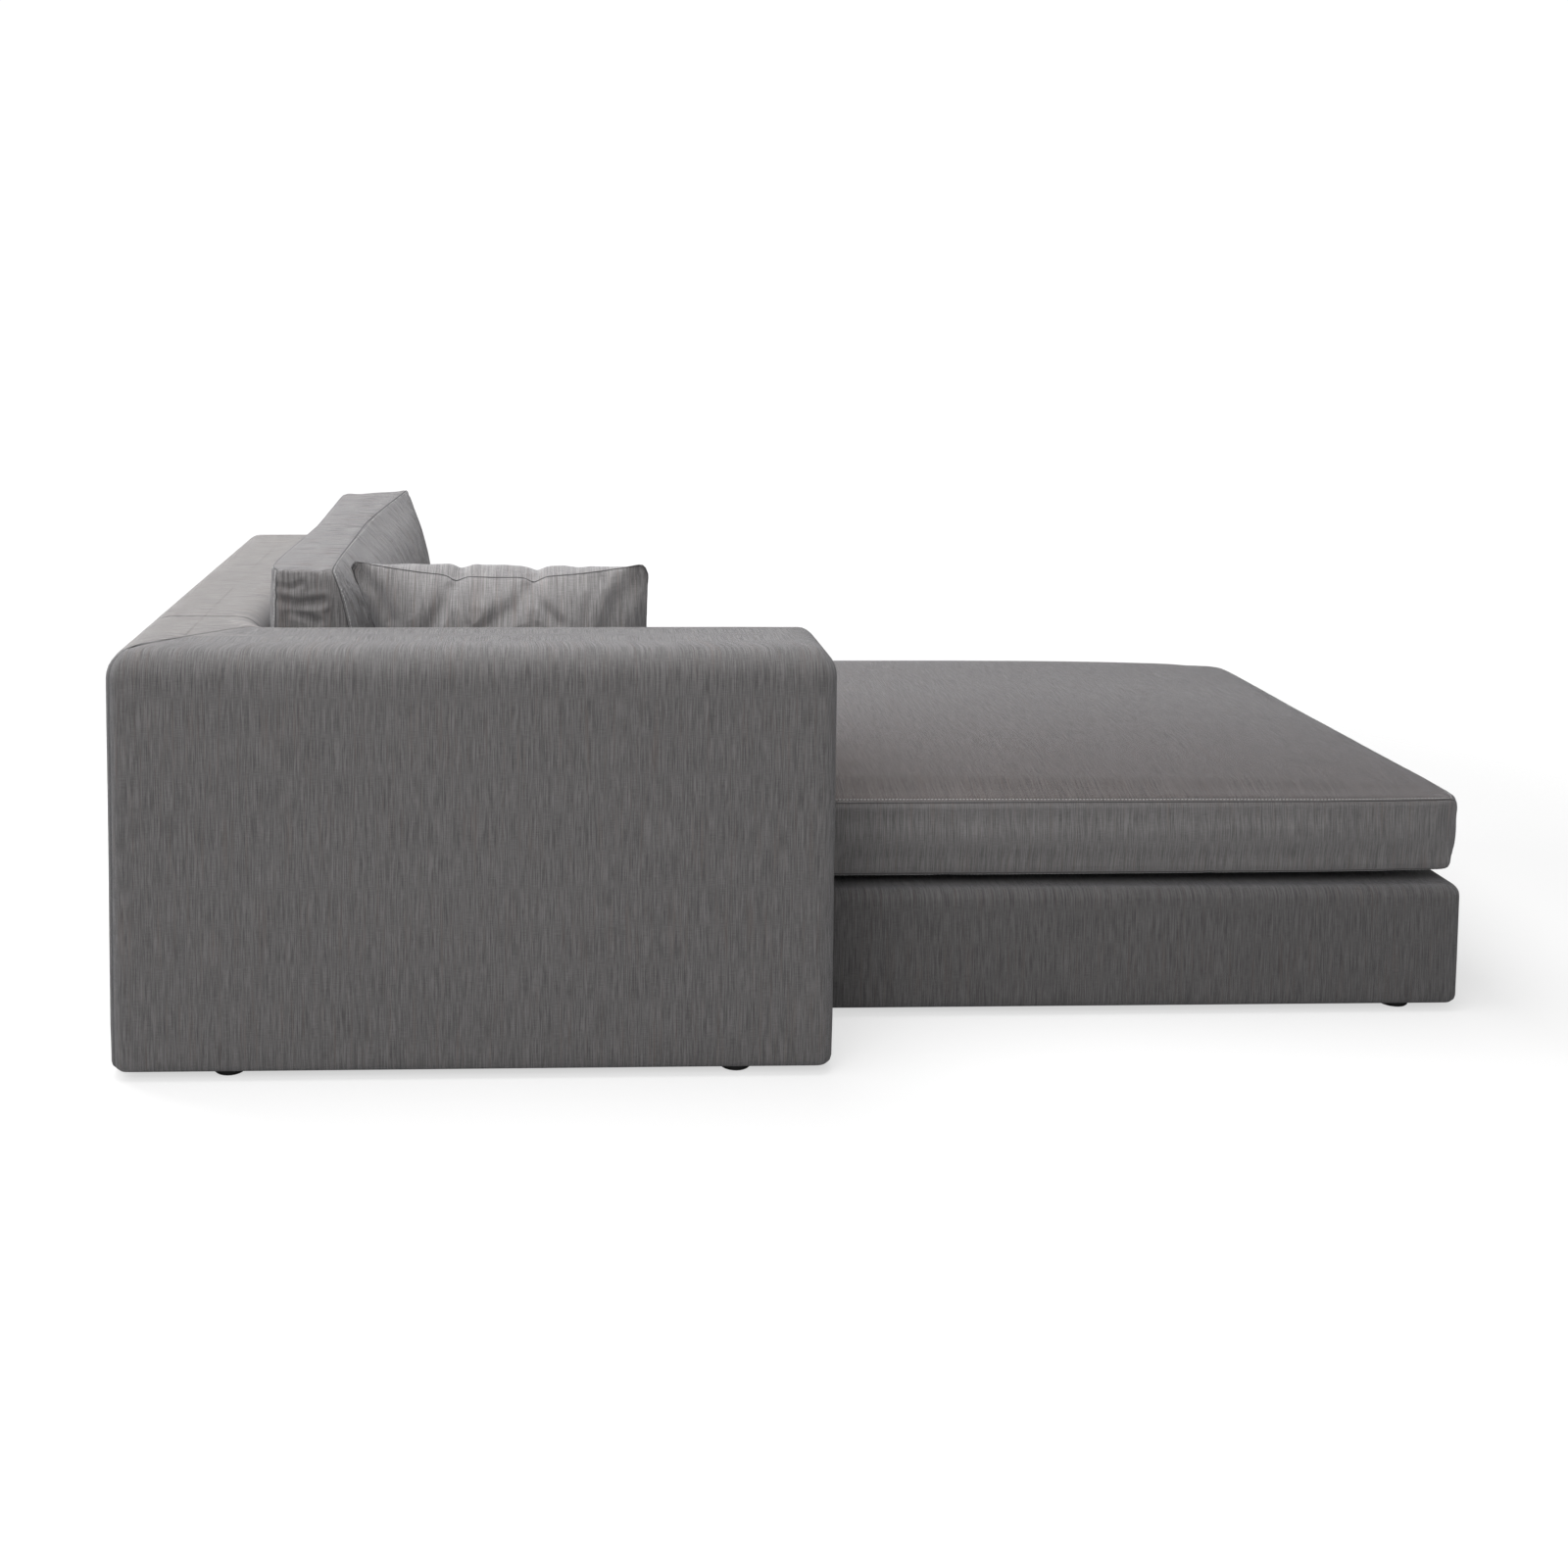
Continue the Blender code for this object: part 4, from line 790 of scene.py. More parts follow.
def seat_form(inset):
    """The seat cushion: flat at the head, drawn in on its other sides, and crowned above and below."""

    def place(u, v, w):
        rounding = 1 - w * w
        bulge = SEAT_BULGE * rounding
        low_draw = SEAT_LOW_DRAW * (1 - w)
        pull = CORNER_PULL * abs(end_share(u) * end_share(v))
        to_foot, to_head = max(u, 0.0), max(-u, 0.0)
        x = u * (SEAT_HALF[0] - inset) - to_foot * (SEAT_SIDE_DRAW * (1 - v * v) + low_draw + pull)
        x += (bulge + SEAT_FOOT_FULLNESS + SEAT_BOXING_FULLNESS * rounding) * end_share(to_foot)
        y = v * (SEAT_HALF[1] - inset - SEAT_SIDE_DRAW * (1 - u * u) - low_draw - pull)
        y += bulge * end_share(v) * (1 - to_head)
        x, y = SEAT_MIDDLE[0] + x, SEAT_MIDDLE[1] + y
        if x < ARM_HIGH.x:
            y = max(y, ARM_FACE + TOUCH + inset)
        x, y = clear_of_corner(x, y, inset, 0.003)
        z = (SEAT_TOP_SEAM + SEAT_LOW_SEAM) / 2 + w * ((SEAT_TOP_SEAM - SEAT_LOW_SEAM) / 2 - inset)
        if abs(w) == 1:
            z += crown(u, v) * (SEAT_CROWN if w > 0 else -SEAT_SAG)
        return (x, y, max(z, BASE_HIGH.z + TOUCH + inset))

    return place


def seat_top(x, y):
    """How high the seat cushion's top is."""
    u = clamp((x - SEAT_MIDDLE[0]) / SEAT_HALF[0], -1.0, 1.0)
    v = clamp((y - SEAT_MIDDLE[1]) / SEAT_HALF[1], -1.0, 1.0)
    return SEAT_TOP_SEAM + SEAT_CROWN * crown(u, v)


def rest_seams(rise):
    """Where the back cushion's rear seam and front seam are, from its bottom at 0 to its top at 1."""
    taper = rise**TAPER_POWER
    rear = REST_STAND_OFF + taper * (REST_TOP_LEAN - REST_STAND_OFF)
    front = rear + REST_TOP_BOXING + (REST_LOW_BOXING - REST_TOP_BOXING) * (1 - taper)
    return BACK_FACE + rear, BACK_FACE + front


def rest_front(y, z):
    """How far the back cushion's front reaches."""
    u = clamp((y - REST_NEAR) / REST_HALF - 1, -1.0, 1.0)
    rise = clamp((z - SEAT_TOP_SEAM) / (REST_TOP - SEAT_TOP_SEAM), 0.0, 1.0)
    return rest_seams(rise)[1] + REST_CROWN * crown(u, 2 * rise - 1)


def rest_form(inset):
    """The back cushion: it stands on the seat cushion and leans on the back, thick below and thin
    above, and its front leans forward at the far end."""

    def place(u, v, w):
        bulge = REST_BULGE * (1 - w * w)
        pull = CORNER_PULL * abs(end_share(u) * end_share(v))
        rise = (v + 1) / 2
        y = (REST_NEAR + REST_FAR) / 2 + bulge * end_share(u)
        y += u * (REST_HALF - inset - REST_END_DRAW * (1 - v * v) - pull)
        rear, front = rest_seams(rise)
        x = rear + inset + (w + 1) / 2 * (front - rear - 2 * inset)
        far, near = max(u, 0.0), max(-u, 0.0)
        x += (w + 1) / 2 * REST_SLUMP * far**1.4 * min(1.0, 2.5 * rise)
        x -= (1 - w) / 2 * REST_NEAR_FULLNESS * near * rise
        if abs(w) == 1:
            x += crown(u, v) * (REST_CROWN if w > 0 else -REST_REAR_CROWN)
        stand_off = TOUCH + clamp(-2 * v, 0.0, 1.0) * (REST_STAND_OFF - TOUCH)
        x = max(x, BACK_FACE + stand_off + inset)
        x, y = clear_of_corner(x, y, inset, 0.012)
        low = seat_top(x, y) + CUSHION_GAP + inset
        ear = REST_EAR * end_share(far) * end_share(max(v, 0.0)) * max(w, 0.0)
        top = REST_TOP - inset - REST_TOP_DRAW * (1 - u * u) - pull + bulge + REST_FAR_RISE * far + ear
        return (x, y, low + rise * (top - low))

    return place


def scatter_form(inset):
    """The scatter cushion: two sheets that meet in one seam, pressed against the arm and the back
    cushion."""
    drawn = 5 * inset

    def place(u, v, w):
        rise = (v + 1) / 2
        head, foot = between(SCATTER_HEAD, rise), between(SCATTER_FOOT, rise)
        half = (foot - head) / 2
        x = BACK_FACE + head + half + u * (half - drawn - SCATTER_SIDE_DRAW * (1 - v * v))
        y = ARM_FACE + between(SCATTER_STAND_OFF, rise)
        y = max(y - w * (SCATTER_HALF_DEPTH - inset) * crown(u, v, 2.4, 0.75), ARM_FACE + TOUCH + inset)
        low = seat_top(x, y) + CUSHION_GAP + drawn
        puckers = sum(math.exp(-(((u - middle) / PUCKER_WIDTH) ** 2)) for middle in SCATTER_PUCKERS)
        sag = SCATTER_SAG * (1 - u * u) + PUCKER_DEPTH * puckers
        top = SCATTER_HIGH.z + SCATTER_TOP_RISE - SCATTER_TOP_TILT * u - sag - drawn
        z = low + rise * (top - low)
        if w < 0 and v > 0:
            share = min(1.0, (1 - v) / 0.5)
            z += SCATTER_REAR_RISE * 4 * share * (1 - share) * math.sqrt(1 - u * u)
        return (max(x, rest_front(y, z) + 0.004 + inset), y, z)

    return place


def boxed_form(name, cells, steps, place):
    """A closed form through an upper sheet, a lower sheet and the boxing between them."""
    us, vs = spread(cells[0]), spread(cells[1])
    across, along = cells
    rim = [(i, 0) for i in range(across)] + [(across, j) for j in range(along)]
    rim += [(across - i, along) for i in range(across)] + [(0, along - j) for j in range(along)]
    points = [place(u, v, w) for w in (1, -1) for u in us for v in vs]
    sheet = (across + 1) * (along + 1)
    levels = [[i * (along + 1) + j for i, j in rim]]
    for level in range(1, steps):
        levels.append(list(range(len(points), len(points) + len(rim))))
        points += [place(us[i], vs[j], 1 - 2 * level / steps) for i, j in rim]
    levels.append([sheet + index for index in levels[0]])
    faces = []
    for layer in (0, 1):
        for i in range(across):
            for j in range(along):
                first = layer * sheet + i * (along + 1) + j
                face = (first, first + along + 1, first + along + 2, first + 1)
                faces.append(face if layer == 0 else face[::-1])
    for upper, lower in zip(levels, levels[1:]):
        for k in range(len(rim)):
            after = (k + 1) % len(rim)
            faces.append((upper[k], lower[k], lower[after], upper[after]))
    thing = mesh_object(name, points, faces)
    bm = bmesh.new()
    bm.from_mesh(thing.data)
    bmesh.ops.remove_doubles(bm, verts=bm.verts, dist=0.00002)
    bmesh.ops.recalc_face_normals(bm, faces=bm.faces)
    bm.to_mesh(thing.data)
    bm.free()
    return thing


def rim_line(place, w, pieces):
    """The seam round a cushion, as closely spaced points."""
    turns = np.linspace(0, 4, 4 * pieces, endpoint=False)
    line = []
    for turn in turns:
        side, share = int(turn), turn - int(turn)
        t = 2 * share - 1
        u, v = ((t, -1.0), (1.0, t), (-t, 1.0), (-1.0, -t))[side]
        line.append(place(u, v, w))
    return np.array(line)


def stuff(thing, settings):
    """Remeshes a cushion's form and inflates it as cloth, which is longer than the form by its
    looseness along each axis. Gives the points before and after, none moved further than the cap."""
    remesh = thing.modifiers.new("even mesh", "REMESH")
    remesh.mode = "VOXEL"
    remesh.voxel_size = settings["voxel"]
    finish_mesh(thing)
    before = points_of(thing.data)
    middle = before.mean(axis=0)
    thing.shape_key_add(name="form")
    loose = thing.shape_key_add(name="loose")
    spare = middle + (before - middle) * (1 + np.array(settings["looseness"]))
    loose.data.foreach_set("co", spare.astype(np.float32).ravel())
    cloth = thing.modifiers.new("stuffing", "CLOTH")
    for key, value in CLOTH.items():
        setattr(cloth.settings, key, value)
    cloth.settings.uniform_pressure_force = settings["pressure"]
    cloth.settings.effector_weights.gravity = 0
    cloth.settings.rest_shape_key = loose
    cloth.collision_settings.use_collision = False
    cloth.point_cache.frame_start = 1
    cloth.point_cache.frame_end = settings["frames"]
    scene = bpy.context.scene
    for frame in range(1, settings["frames"] + 1):
        scene.frame_set(frame)
    evaluated = thing.evaluated_get(bpy.context.evaluated_depsgraph_get())
    moved = points_of(evaluated.to_mesh()) - before
    evaluated.to_mesh_clear()
    thing.modifiers.clear()
    thing.shape_key_clear()
    scene.frame_set(1)
    length = np.linalg.norm(moved, axis=1)
    return before, before + moved * np.minimum(1.0, settings["cap"] / np.maximum(length, 1e-9))[:, None]


def point_tree(points):
    """A tree for finding the nearest of some points."""
    tree = KDTree(len(points))
    for index, point in enumerate(points):
        tree.insert(point, index)
    tree.balance()
    return tree


def seam_distances(points, seams):
    """How far each point is from the nearest of the seams, with a sign for its side of it. Far points
    get FAR."""
    tree = point_tree(points)
    best = np.full(len(points), FAR)
    signed = np.full(len(points), FAR)
    for line, side in seams:
        for place in line:
            for point, index, distance in tree.find_range(place, SEAM_REACH):
                if distance < best[index]:
                    best[index] = distance
                    signed[index] = math.copysign(distance, (point - Vector(place)).dot(side))
    return signed


def draw_to_seams(points, before, seams, reach):
    """Moves the stuffed surface at each seam back to the seam's own place, and less and less beyond it."""
    tree = point_tree(before)
    moved = points.copy()
    for line, _ in seams:
        near = np.array([[found[1] for found in tree.find_n(point, 5)] for point in line])
        shift = smooth_row(line - points[near].mean(axis=1), 3)
        seam = point_tree(line)
        nearest = [seam.find(point) for point in before]
        index = np.array([found[1] for found in nearest])
        distance = np.array([found[2] for found in nearest])
        moved += shift[index] * np.exp(-((distance / reach) ** 2))[:, None]
    return moved


def smooth_row(row, times):
    """Evens out a closed row of points."""
    for _ in range(times):
        row = (np.roll(row, 1, axis=0) + 2 * row + np.roll(row, -1, axis=0)) / 4
    return row


def crease(points, normals, side, axes, path, width, depth):
    """Presses a fold with soft lips into the side that looks along side, on a path given in two of
    the axes."""
    distance = np.abs(polyline_distance(points[:, axes], path))
    facing = np.clip(normals @ np.array(side), 0, 1) ** 0.5
    profile = 0.45 * np.exp(-(((distance - 2 * width) / width) ** 2)) - np.exp(-((distance / width) ** 2))
    return points + np.array(side) * (depth * profile * facing)[:, None]


def hold(points, form, proud, low, high):
    """Keeps points at most proud of the form outside its surface, and between two corners."""
    tree = BVHTree.FromObject(form, bpy.context.evaluated_depsgraph_get())
    held = points.copy()
    for index, point in enumerate(points):
        place, normal, _, distance = tree.find_nearest(Vector(point))
        if distance > proud and (Vector(point) - place).dot(normal) > 0:
            held[index] = place + (Vector(point) - place) * (proud / distance)
    return np.clip(held, low, high)


class Tree:
    """A Geometry Nodes tree that lays something along a closed chain of edges, with named sizes."""

    def __init__(self, name, surface, sizes):
        self.surface = surface
        self.group = bpy.data.node_groups.new(name, "GeometryNodeTree")
        add_socket = self.group.interface.new_socket
        add_socket(name="Path", in_out="INPUT", socket_type="NodeSocketGeometry")
        add_socket(name="Result", in_out="OUTPUT", socket_type="NodeSocketGeometry")
        self.sizes = {}
        for label, value in sizes.items():
            socket = add_socket(name=label, in_out="INPUT", socket_type="NodeSocketFloat")
            self.sizes[socket.identifier] = value
        self.start = self.group.nodes.new("NodeGroupInput").outputs

    def node(self, kind, settings=None, values=None):
        """Adds a node and gives its first output."""
        node = self.group.nodes.new(kind)
        for key, value in (settings or {}).items():
            setattr(node, key, value)
        for key, value in (values or {}).items():
            if isinstance(value, bpy.types.NodeSocket):
                self.group.links.new(value, node.inputs[key])
            else:
                node.inputs[key].default_value = value
        return node.outputs[0]

    def even_path(self, pitch):
        """The path as a curve with even points."""
        curve = self.node("GeometryNodeMeshToCurve", None, {0: self.start["Path"]})
        return self.node("GeometryNodeResampleCurve", {"mode": "LENGTH"}, {"Curve": curve, "Length": pitch})

    def end(self, geometry):
        real = self.node("GeometryNodeRealizeInstances", None, {0: geometry})
        self.group.links.new(real, self.group.nodes.new("NodeGroupOutput").inputs[0])
        return self

    def grow(self, name, path):
        """Runs the tree along a closed path and gives the plain mesh."""
        edges = [(k, (k + 1) % len(path)) for k in range(len(path))]
        thing = mesh_object(name, path, (), edges)
        modifier = thing.modifiers.new(self.group.name, "NODES")
        modifier.node_group = self.group
        for identifier, value in self.sizes.items():
            modifier[identifier] = value
        return finish_mesh(thing)


def stitch_tree(sizes, surface):
    """Stitches in a row along a path: small rounded rods that lie along it."""
    named = {"Pitch": sizes.stitch_pitch, "Length": sizes.stitch_length, "Thickness": sizes.stitch_thickness}
    tree = Tree("topstitching", surface, named)
    length, thickness = tree.start["Length"], tree.start["Thickness"]
    tangent = tree.node("GeometryNodeInputTangent")
    values = {
        "Points": tree.even_path(tree.start["Pitch"]),
        "Instance": tree.node("GeometryNodeMeshUVSphere", None, {"Segments": 6, "Rings": 4, "Radius": 0.5}),
        "Rotation": tree.node("FunctionNodeAlignRotationToVector", {"axis": "X"}, {"Vector": tangent}),
        "Scale": tree.node("ShaderNodeCombineXYZ", None, {0: length, 1: thickness, 2: thickness}),
    }
    return tree.end(tree.node("GeometryNodeInstanceOnPoints", None, values))


def lip_tree(sizes, surface):
    """The folded edge along a seam: a thin round strip that follows it."""
    tree = Tree("seam_lip", surface, {"Radius": sizes.seam_lip})
    values = {"Resolution": 6, "Radius": tree.start["Radius"]}
    ring = tree.node("GeometryNodeCurvePrimitiveCircle", {"mode": "RADIUS"}, values)
    values = {"Curve": tree.even_path(LIP_STEP), "Profile Curve": ring}
    return tree.end(tree.node("GeometryNodeCurveToMesh", None, values))


def row_on(form, line, side, offset, lift):
    """A row beside a seam, on the cushion's surface: offset along it towards side, and lifted off it."""
    tree = BVHTree.FromObject(form, bpy.context.evaluated_depsgraph_get())
    row = []
    middle = Vector(line.mean(axis=0))
    for point in line:
        point = Vector(point)
        inward = middle - point
        inward -= inward.dot(side) * side
        inward.normalize()
        place, normal, _, _ = tree.find_nearest(point)
        for _ in range(2):
            direction = inward * 0.85 + side * 0.15
            direction -= direction.dot(normal) * normal
            direction.normalize()
            place, normal, _, _ = tree.find_nearest(place + direction * (offset / 2))
        row.append(tuple(place + normal * lift))
    return smooth_row(np.array(row), 1)


def subdivide(thing, extra):
    """One subdivision, which also carries extra points through."""
    thing.shape_key_add(name="form")
    key = thing.shape_key_add(name="before")
    key.data.foreach_set("co", extra.astype(np.float32).ravel())
    plain = add_object(thing.name + "_before", thing.data.copy())
    plain.data.shape_keys.key_blocks["before"].value = 1.0
    carried = []
    for each in (plain, thing):
        modifier = each.modifiers.new("finer", "SUBSURF")
        modifier.levels = modifier.render_levels = 1
        carried.append(evaluated_mesh(each))
        each.modifiers.clear()
    before = points_of(carried[0])
    thing.shape_key_clear()
    thing.data = carried[1]
    bpy.data.objects.remove(plain)
    bpy.data.meshes.remove(carried[0])
    return before


def panel_weave(mesh, before, panels):
    """Writes the weave map of a cushion, panel by panel. panels(normals) gives each face's axes."""
    corners, faces, starts = loops_of(mesh)
    first, second, third = (before[corners[starts + step]] for step in range(3))
    normals = np.cross(second - first, third - first)
    normals /= np.linalg.norm(normals, axis=1)[:, None] + 1e-12
    every, places = np.arange(len(corners)), before[corners]
    across, along = (places[every, axis[faces]] for axis in panels(np.abs(normals)))
    write_weave(mesh, across, along)


def seat_panels(normals):
    """Along Y on the top, and upright on the boxing."""
    level = normals[:, 2] > 0.6
    near = normals[:, 1] > normals[:, 0]
    return np.where(level | near, 0, 1), np.where(level, 1, 2)


def rest_panels(normals):
    """Upright on the front and on the ends, and along X over the top."""
    end = normals[:, 1] > 0.72
    over = ~end & (normals[:, 2] > 0.72)
    return np.where(end, 0, 1), np.where(over, 0, 2)


def scatter_panels(normals):
    """Upright on both sheets."""
    return np.zeros(len(normals), dtype=int), np.full(len(normals), 2)


def join(name, parts):
    """One object from several."""
    bm = bmesh.new()
    for part in parts:
        bm.from_mesh(part.data)
        bpy.data.objects.remove(part)
    mesh = bpy.data.meshes.new(name)
    bm.to_mesh(mesh)
    bm.free()
    return add_object(name, mesh)


def lay_seams(body, cushion, seams, trees, stitch_offset):
    """The topstitching along a cushion's seams, where it has any, and the folded edges, as one piece
    each. All rows are found before the first is grown."""
    stitches, lips = trees
    # The folded edges carry no seam distance, so the fabric paints them all over with its painted seam shade
    kinds = [("stitches", stitches, stitch_offset, 0.0001), ("seam_edges", lips, 0.0, -0.0002)]
    kinds = kinds if stitch_offset else kinds[1:]
    rows = [[row_on(cushion, *seam, offset, lift) for seam in seams] for _, _, offset, lift in kinds]
    for (label, tree, _, _), paths in zip(kinds, rows):
        name = f"{body}_{label}"
        piece = join(name, [tree.grow(f"{name}_{k}", path) for k, path in enumerate(paths)])
        piece.data.shade_smooth()
        dress(piece, tree.surface, body)
        if tree is stitches:
            # A known fault, kept so that the look stays: the thread's colour isn't worn.
            piece.data.materials[0] = None


def make_cushion(name, form_at, panels, settings, surface, trees, shape_more, cross_cut=None):
    """A stuffed cushion: its form, inflated as cloth and held near its solid, with seams, stitches
    and weave. Its seams come as the form's level, the points on each side and the way they face."""
    form, cells = form_at(0.0), settings["cells"]
    seams = [(rim_line(form, w, pieces), Vector(side)) for w, pieces, side in settings["seams"]]
    thing = boxed_form(name, cells, BOXING_STEPS, form_at(settings["start_inset"]))
    limit = boxed_form(name + "_limit", cells, BOXING_STEPS, form)
    before, after = stuff(thing, settings)
    set_points(thing.data, after)
    before = subdivide(thing, before)
    mesh = thing.data
    points = shape_more(points_of(mesh), normals_of(mesh), before)
    points = draw_to_seams(points, before, seams, settings["reach"])
    set_points(mesh, hold(points, limit, settings["proud"], settings["low"], settings["high"]))
    distance = seam_distances(before, seams)
    push(mesh, -settings["groove"] * np.exp(-((distance / SEAM_GROOVE_WIDTH) ** 2)))
    write_field(mesh, "seam", distance)
    panel_weave(mesh, before, panels)
    # Painted shade, where a cushion has it: a field for the fabric to darken its top
    if cross_cut is not None:
        write_field(mesh, "cross_cut", cross_cut(before, normals_of(mesh)))
    mesh.shade_smooth()
    bpy.data.objects.remove(limit)
    dress(thing, surface, name, *(f"{name}_{part}" for part in settings["parts"]))
    lay_seams(name, thing, seams, trees, settings["stitch_offset"])
    return thing


def clear_zip(points, wall, zip_name):
    """Keeps a cushion's rear wall behind its zip's tape."""
    low, high = node_box(zip_name)
    x, y, z = points.T
    inside = (np.abs(x - wall) < 0.02) & (y > low.y - 0.004) & (y < high.y + 0.004)
    inside &= (z > low.z - 0.002) & (z < high.z + 0.002)
    points[inside, 0] = np.maximum(points[inside, 0], wall + 0.0014)
    return points


def press_creases(points, normals, left, top, creases):
    """Presses creases into the side that faces the arm. Their paths are given from left and top."""
    for path, width, depth in creases:
        path = [(left + x, top + z) for x, z in path]
        points = crease(points, normals, (0.0, -1.0, 0.0), [0, 2], path, width, depth)
    return points


def make_seat_cushion(surface, trees, stitch_offset):
    def more(points, normals, before):
        wave = fold_noise(before, (2.2, 3.4, 2.0), 11, 3)
        upward = np.clip(normals[:, 2], 0, 1)
        points = points + normals * (0.0022 * wave * upward)[:, None]
        return clear_zip(points, SEAT_LOW.x, "seat_cushion_zip")

    # Painted shade: the top darker and browner, most towards the arm and the camera, for the fabric's dimmer
    # look at a grazing view
    def seat_top_shade_mask(before, normals):
        nearness = np.clip((SEAT_MIDDLE[1] + 0.1 - before[:, 1]) / 0.5, 0, 1)
        return np.clip(normals[:, 2] * 1.6 - 0.6, 0, 1) * (0.42 + 0.58 * nearness)

    settings = {
        "parts": ("cover", "core"),
        "cells": (72, 44),
        "seams": ((0.999, 420, (0, 0, 1)), (-0.999, 420, (0, 0, -1))),
        "stitch_offset": stitch_offset,
        "start_inset": 0.0035,
        "reach": 0.020,
        "voxel": 0.0140,
        "frames": 10,
        "pressure": 0.8,
        "looseness": (0.006, 0.010, 0.0),
        "cap": 0.009,
        "proud": 0.0020,
        "low": (SEAT_LOW.x, ARM_FACE + 0.0006, BASE_HIGH.z + 0.0012),
        "high": (SEAT_HIGH.x + 0.024, SEAT_HIGH.y + 0.003, SEAT_HIGH.z + 0.002),
        "groove": 0.0016,
        "fill": 0.9,
    }
    return make_cushion("seat_cushion", seat_form, seat_panels, settings, surface, trees, more, seat_top_shade_mask)


# Creases of the back cushion's end, from its left edge and top: path, width and depth
REST_CREASES = (
    (((0.000, -0.030), (0.030, -0.036), (0.045, -0.028)), 0.0045, 0.0028),
    (((0.004, -0.050), (0.034, -0.061), (0.076, -0.056)), 0.0060, 0.0062),
    (((0.030, -0.074), (0.050, -0.079), (0.070, -0.088)), 0.0055, 0.0040),
    (((0.010, -0.110), (0.050, -0.118), (0.090, -0.112)), 0.0080, 0.0030),
    (((0.086, -0.020), (0.092, -0.060), (0.100, -0.120)), 0.0070, 0.0040),
)


def make_back_cushion(surface, trees, stitch_offset):
    def more(points, normals, before):
        bent = before.copy()
        bent[:, 1] += 0.020 * fold_noise(before, (5.0, 1.5, 5.0), 23, 2)
        folds = fold_noise(bent, (4.0, 46.0, 4.5), 21, 3)
        sharp = np.clip(1 - np.abs(folds) * 2.8, 0, 1) ** 2
        facing = np.clip(normals[:, 0] * 0.8 + normals[:, 2], 0, 1)
        points = points - normals * (0.0034 * sharp * facing)[:, None]
        points = press_creases(points, normals, REST_LOW.x + 0.018, REST_TOP, REST_CREASES)
        return clear_zip(points, REST_LOW.x + 0.0057, "back_cushion_zip")

    settings = {
        "parts": ("cover", "fill"),
        "cells": (72, 44),
        "seams": ((0.999, 300, (1, 0, 0)), (-0.999, 300, (-1, 0, 0))),
        "stitch_offset": stitch_offset,
        "start_inset": 0.006,
        "reach": 0.018,
        "voxel": 0.0072,
        "frames": 14,
        "pressure": 0.9,
        "looseness": (0.01, 0.040, 0.015),
        "cap": 0.022,
        "proud": 0.0030,
        "low": (BACK_FACE + 0.0004, ARM_FACE + 0.004, REST_LOW.z),
        "high": (REST_HIGH.x + 0.050, REST_HIGH.y + 0.004, REST_HIGH.z + 0.015),
        "groove": 0.0018,
        "fill": 0.7,
    }
    return make_cushion("back_cushion", rest_form, rest_panels, settings, surface, trees, more)


# Creases of the scatter cushion's front, from its left edge and top: path, width and depth
SCATTER_CREASES = (
    (((0.165, -0.030), (0.150, -0.060), (0.120, -0.110)), 0.012, 0.0070),
    (((0.165, -0.030), (0.180, -0.055), (0.188, -0.080)), 0.007, 0.0050),
    (((0.285, -0.028), (0.262, -0.060), (0.200, -0.100), (0.150, -0.150)), 0.014, 0.0080),
    (((0.285, -0.028), (0.300, -0.050), (0.330, -0.080)), 0.008, 0.0050),
    (((0.020, -0.010), (0.050, -0.040), (0.070, -0.080)), 0.010, 0.0060),
    (((0.460, -0.010), (0.420, -0.060), (0.395, -0.130)), 0.016, 0.0070),
    (((0.395, -0.020), (0.380, -0.050), (0.372, -0.090)), 0.008, 0.0040),
)


def make_scatter_cushion(surface, trees):
    def more(points, normals, before):
        folds = fold_noise(before, (13.0, 6.0, 4.0), 31, 3)
        points = points + normals * (0.0030 * folds)[:, None]
        return press_creases(points, normals, SCATTER_LOW.x, SCATTER_HIGH.z, SCATTER_CREASES)

    settings = {
        "parts": ("cover", "fill", "zip"),
        "cells": (64, 48),
        "seams": ((1, 240, (0, -1, 0)),),
        "stitch_offset": None,
        "start_inset": 0.0007,
        "reach": 0.016,
        "voxel": 0.005,
        "frames": 14,
        "pressure": 1.2,
        "looseness": (0.035, 0.0, 0.02),
        "cap": 0.016,
        "proud": 0.0025,
        "low": (SCATTER_LOW.x - 0.002, ARM_FACE + 0.0004, SCATTER_LOW.z),
        "high": (SCATTER_HIGH.x + 0.003, SCATTER_HIGH.y + 0.003, SCATTER_HIGH.z + 0.013),
        "groove": 0.0,
        "fill": 0.6,
    }
    return make_cushion("scatter_cushion", scatter_form, scatter_panels, settings, surface, trees, more)


def make_camera():
    """The camera that saw the photograph."""
    data = bpy.data.cameras.new("photograph_view")
    data.sensor_fit = "HORIZONTAL"
    data.sensor_width = 36.0
    data.lens = FOCAL_PIXELS * data.sensor_width / PHOTO_PIXELS
    data.shift_x = 0.5 - PHOTO_CENTRE[0] / PHOTO_PIXELS
    data.shift_y = PHOTO_CENTRE[1] / PHOTO_PIXELS - 0.5
    data.clip_end = 60.0
    forward = Vector((math.sin(YAW) * math.cos(PITCH), math.cos(YAW) * math.cos(PITCH), -math.sin(PITCH)))
    level = Vector((math.cos(YAW), -math.sin(YAW), 0))
    upright = level.cross(forward)
    right = level * math.cos(ROLL) + upright * math.sin(ROLL)
    up = upright * math.cos(ROLL) - level * math.sin(ROLL)
    camera = add_object("photograph_view", data)
    camera.matrix_world = Matrix.LocRotScale(EYE, Matrix((right, up, -forward)).transposed(), None)
    bpy.context.scene.camera = camera


def make_lights():
    for name, place, target, size, power in LIGHTS:
        data = bpy.data.lights.new(name, "AREA")
        data.shape = "RECTANGLE"
        data.size, data.size_y = size
        data.energy = power
        light = add_object(name, data)
        light.location = place
        light.rotation_euler = (Vector(target) - Vector(place)).to_track_quat("-Z", "Y").to_euler()


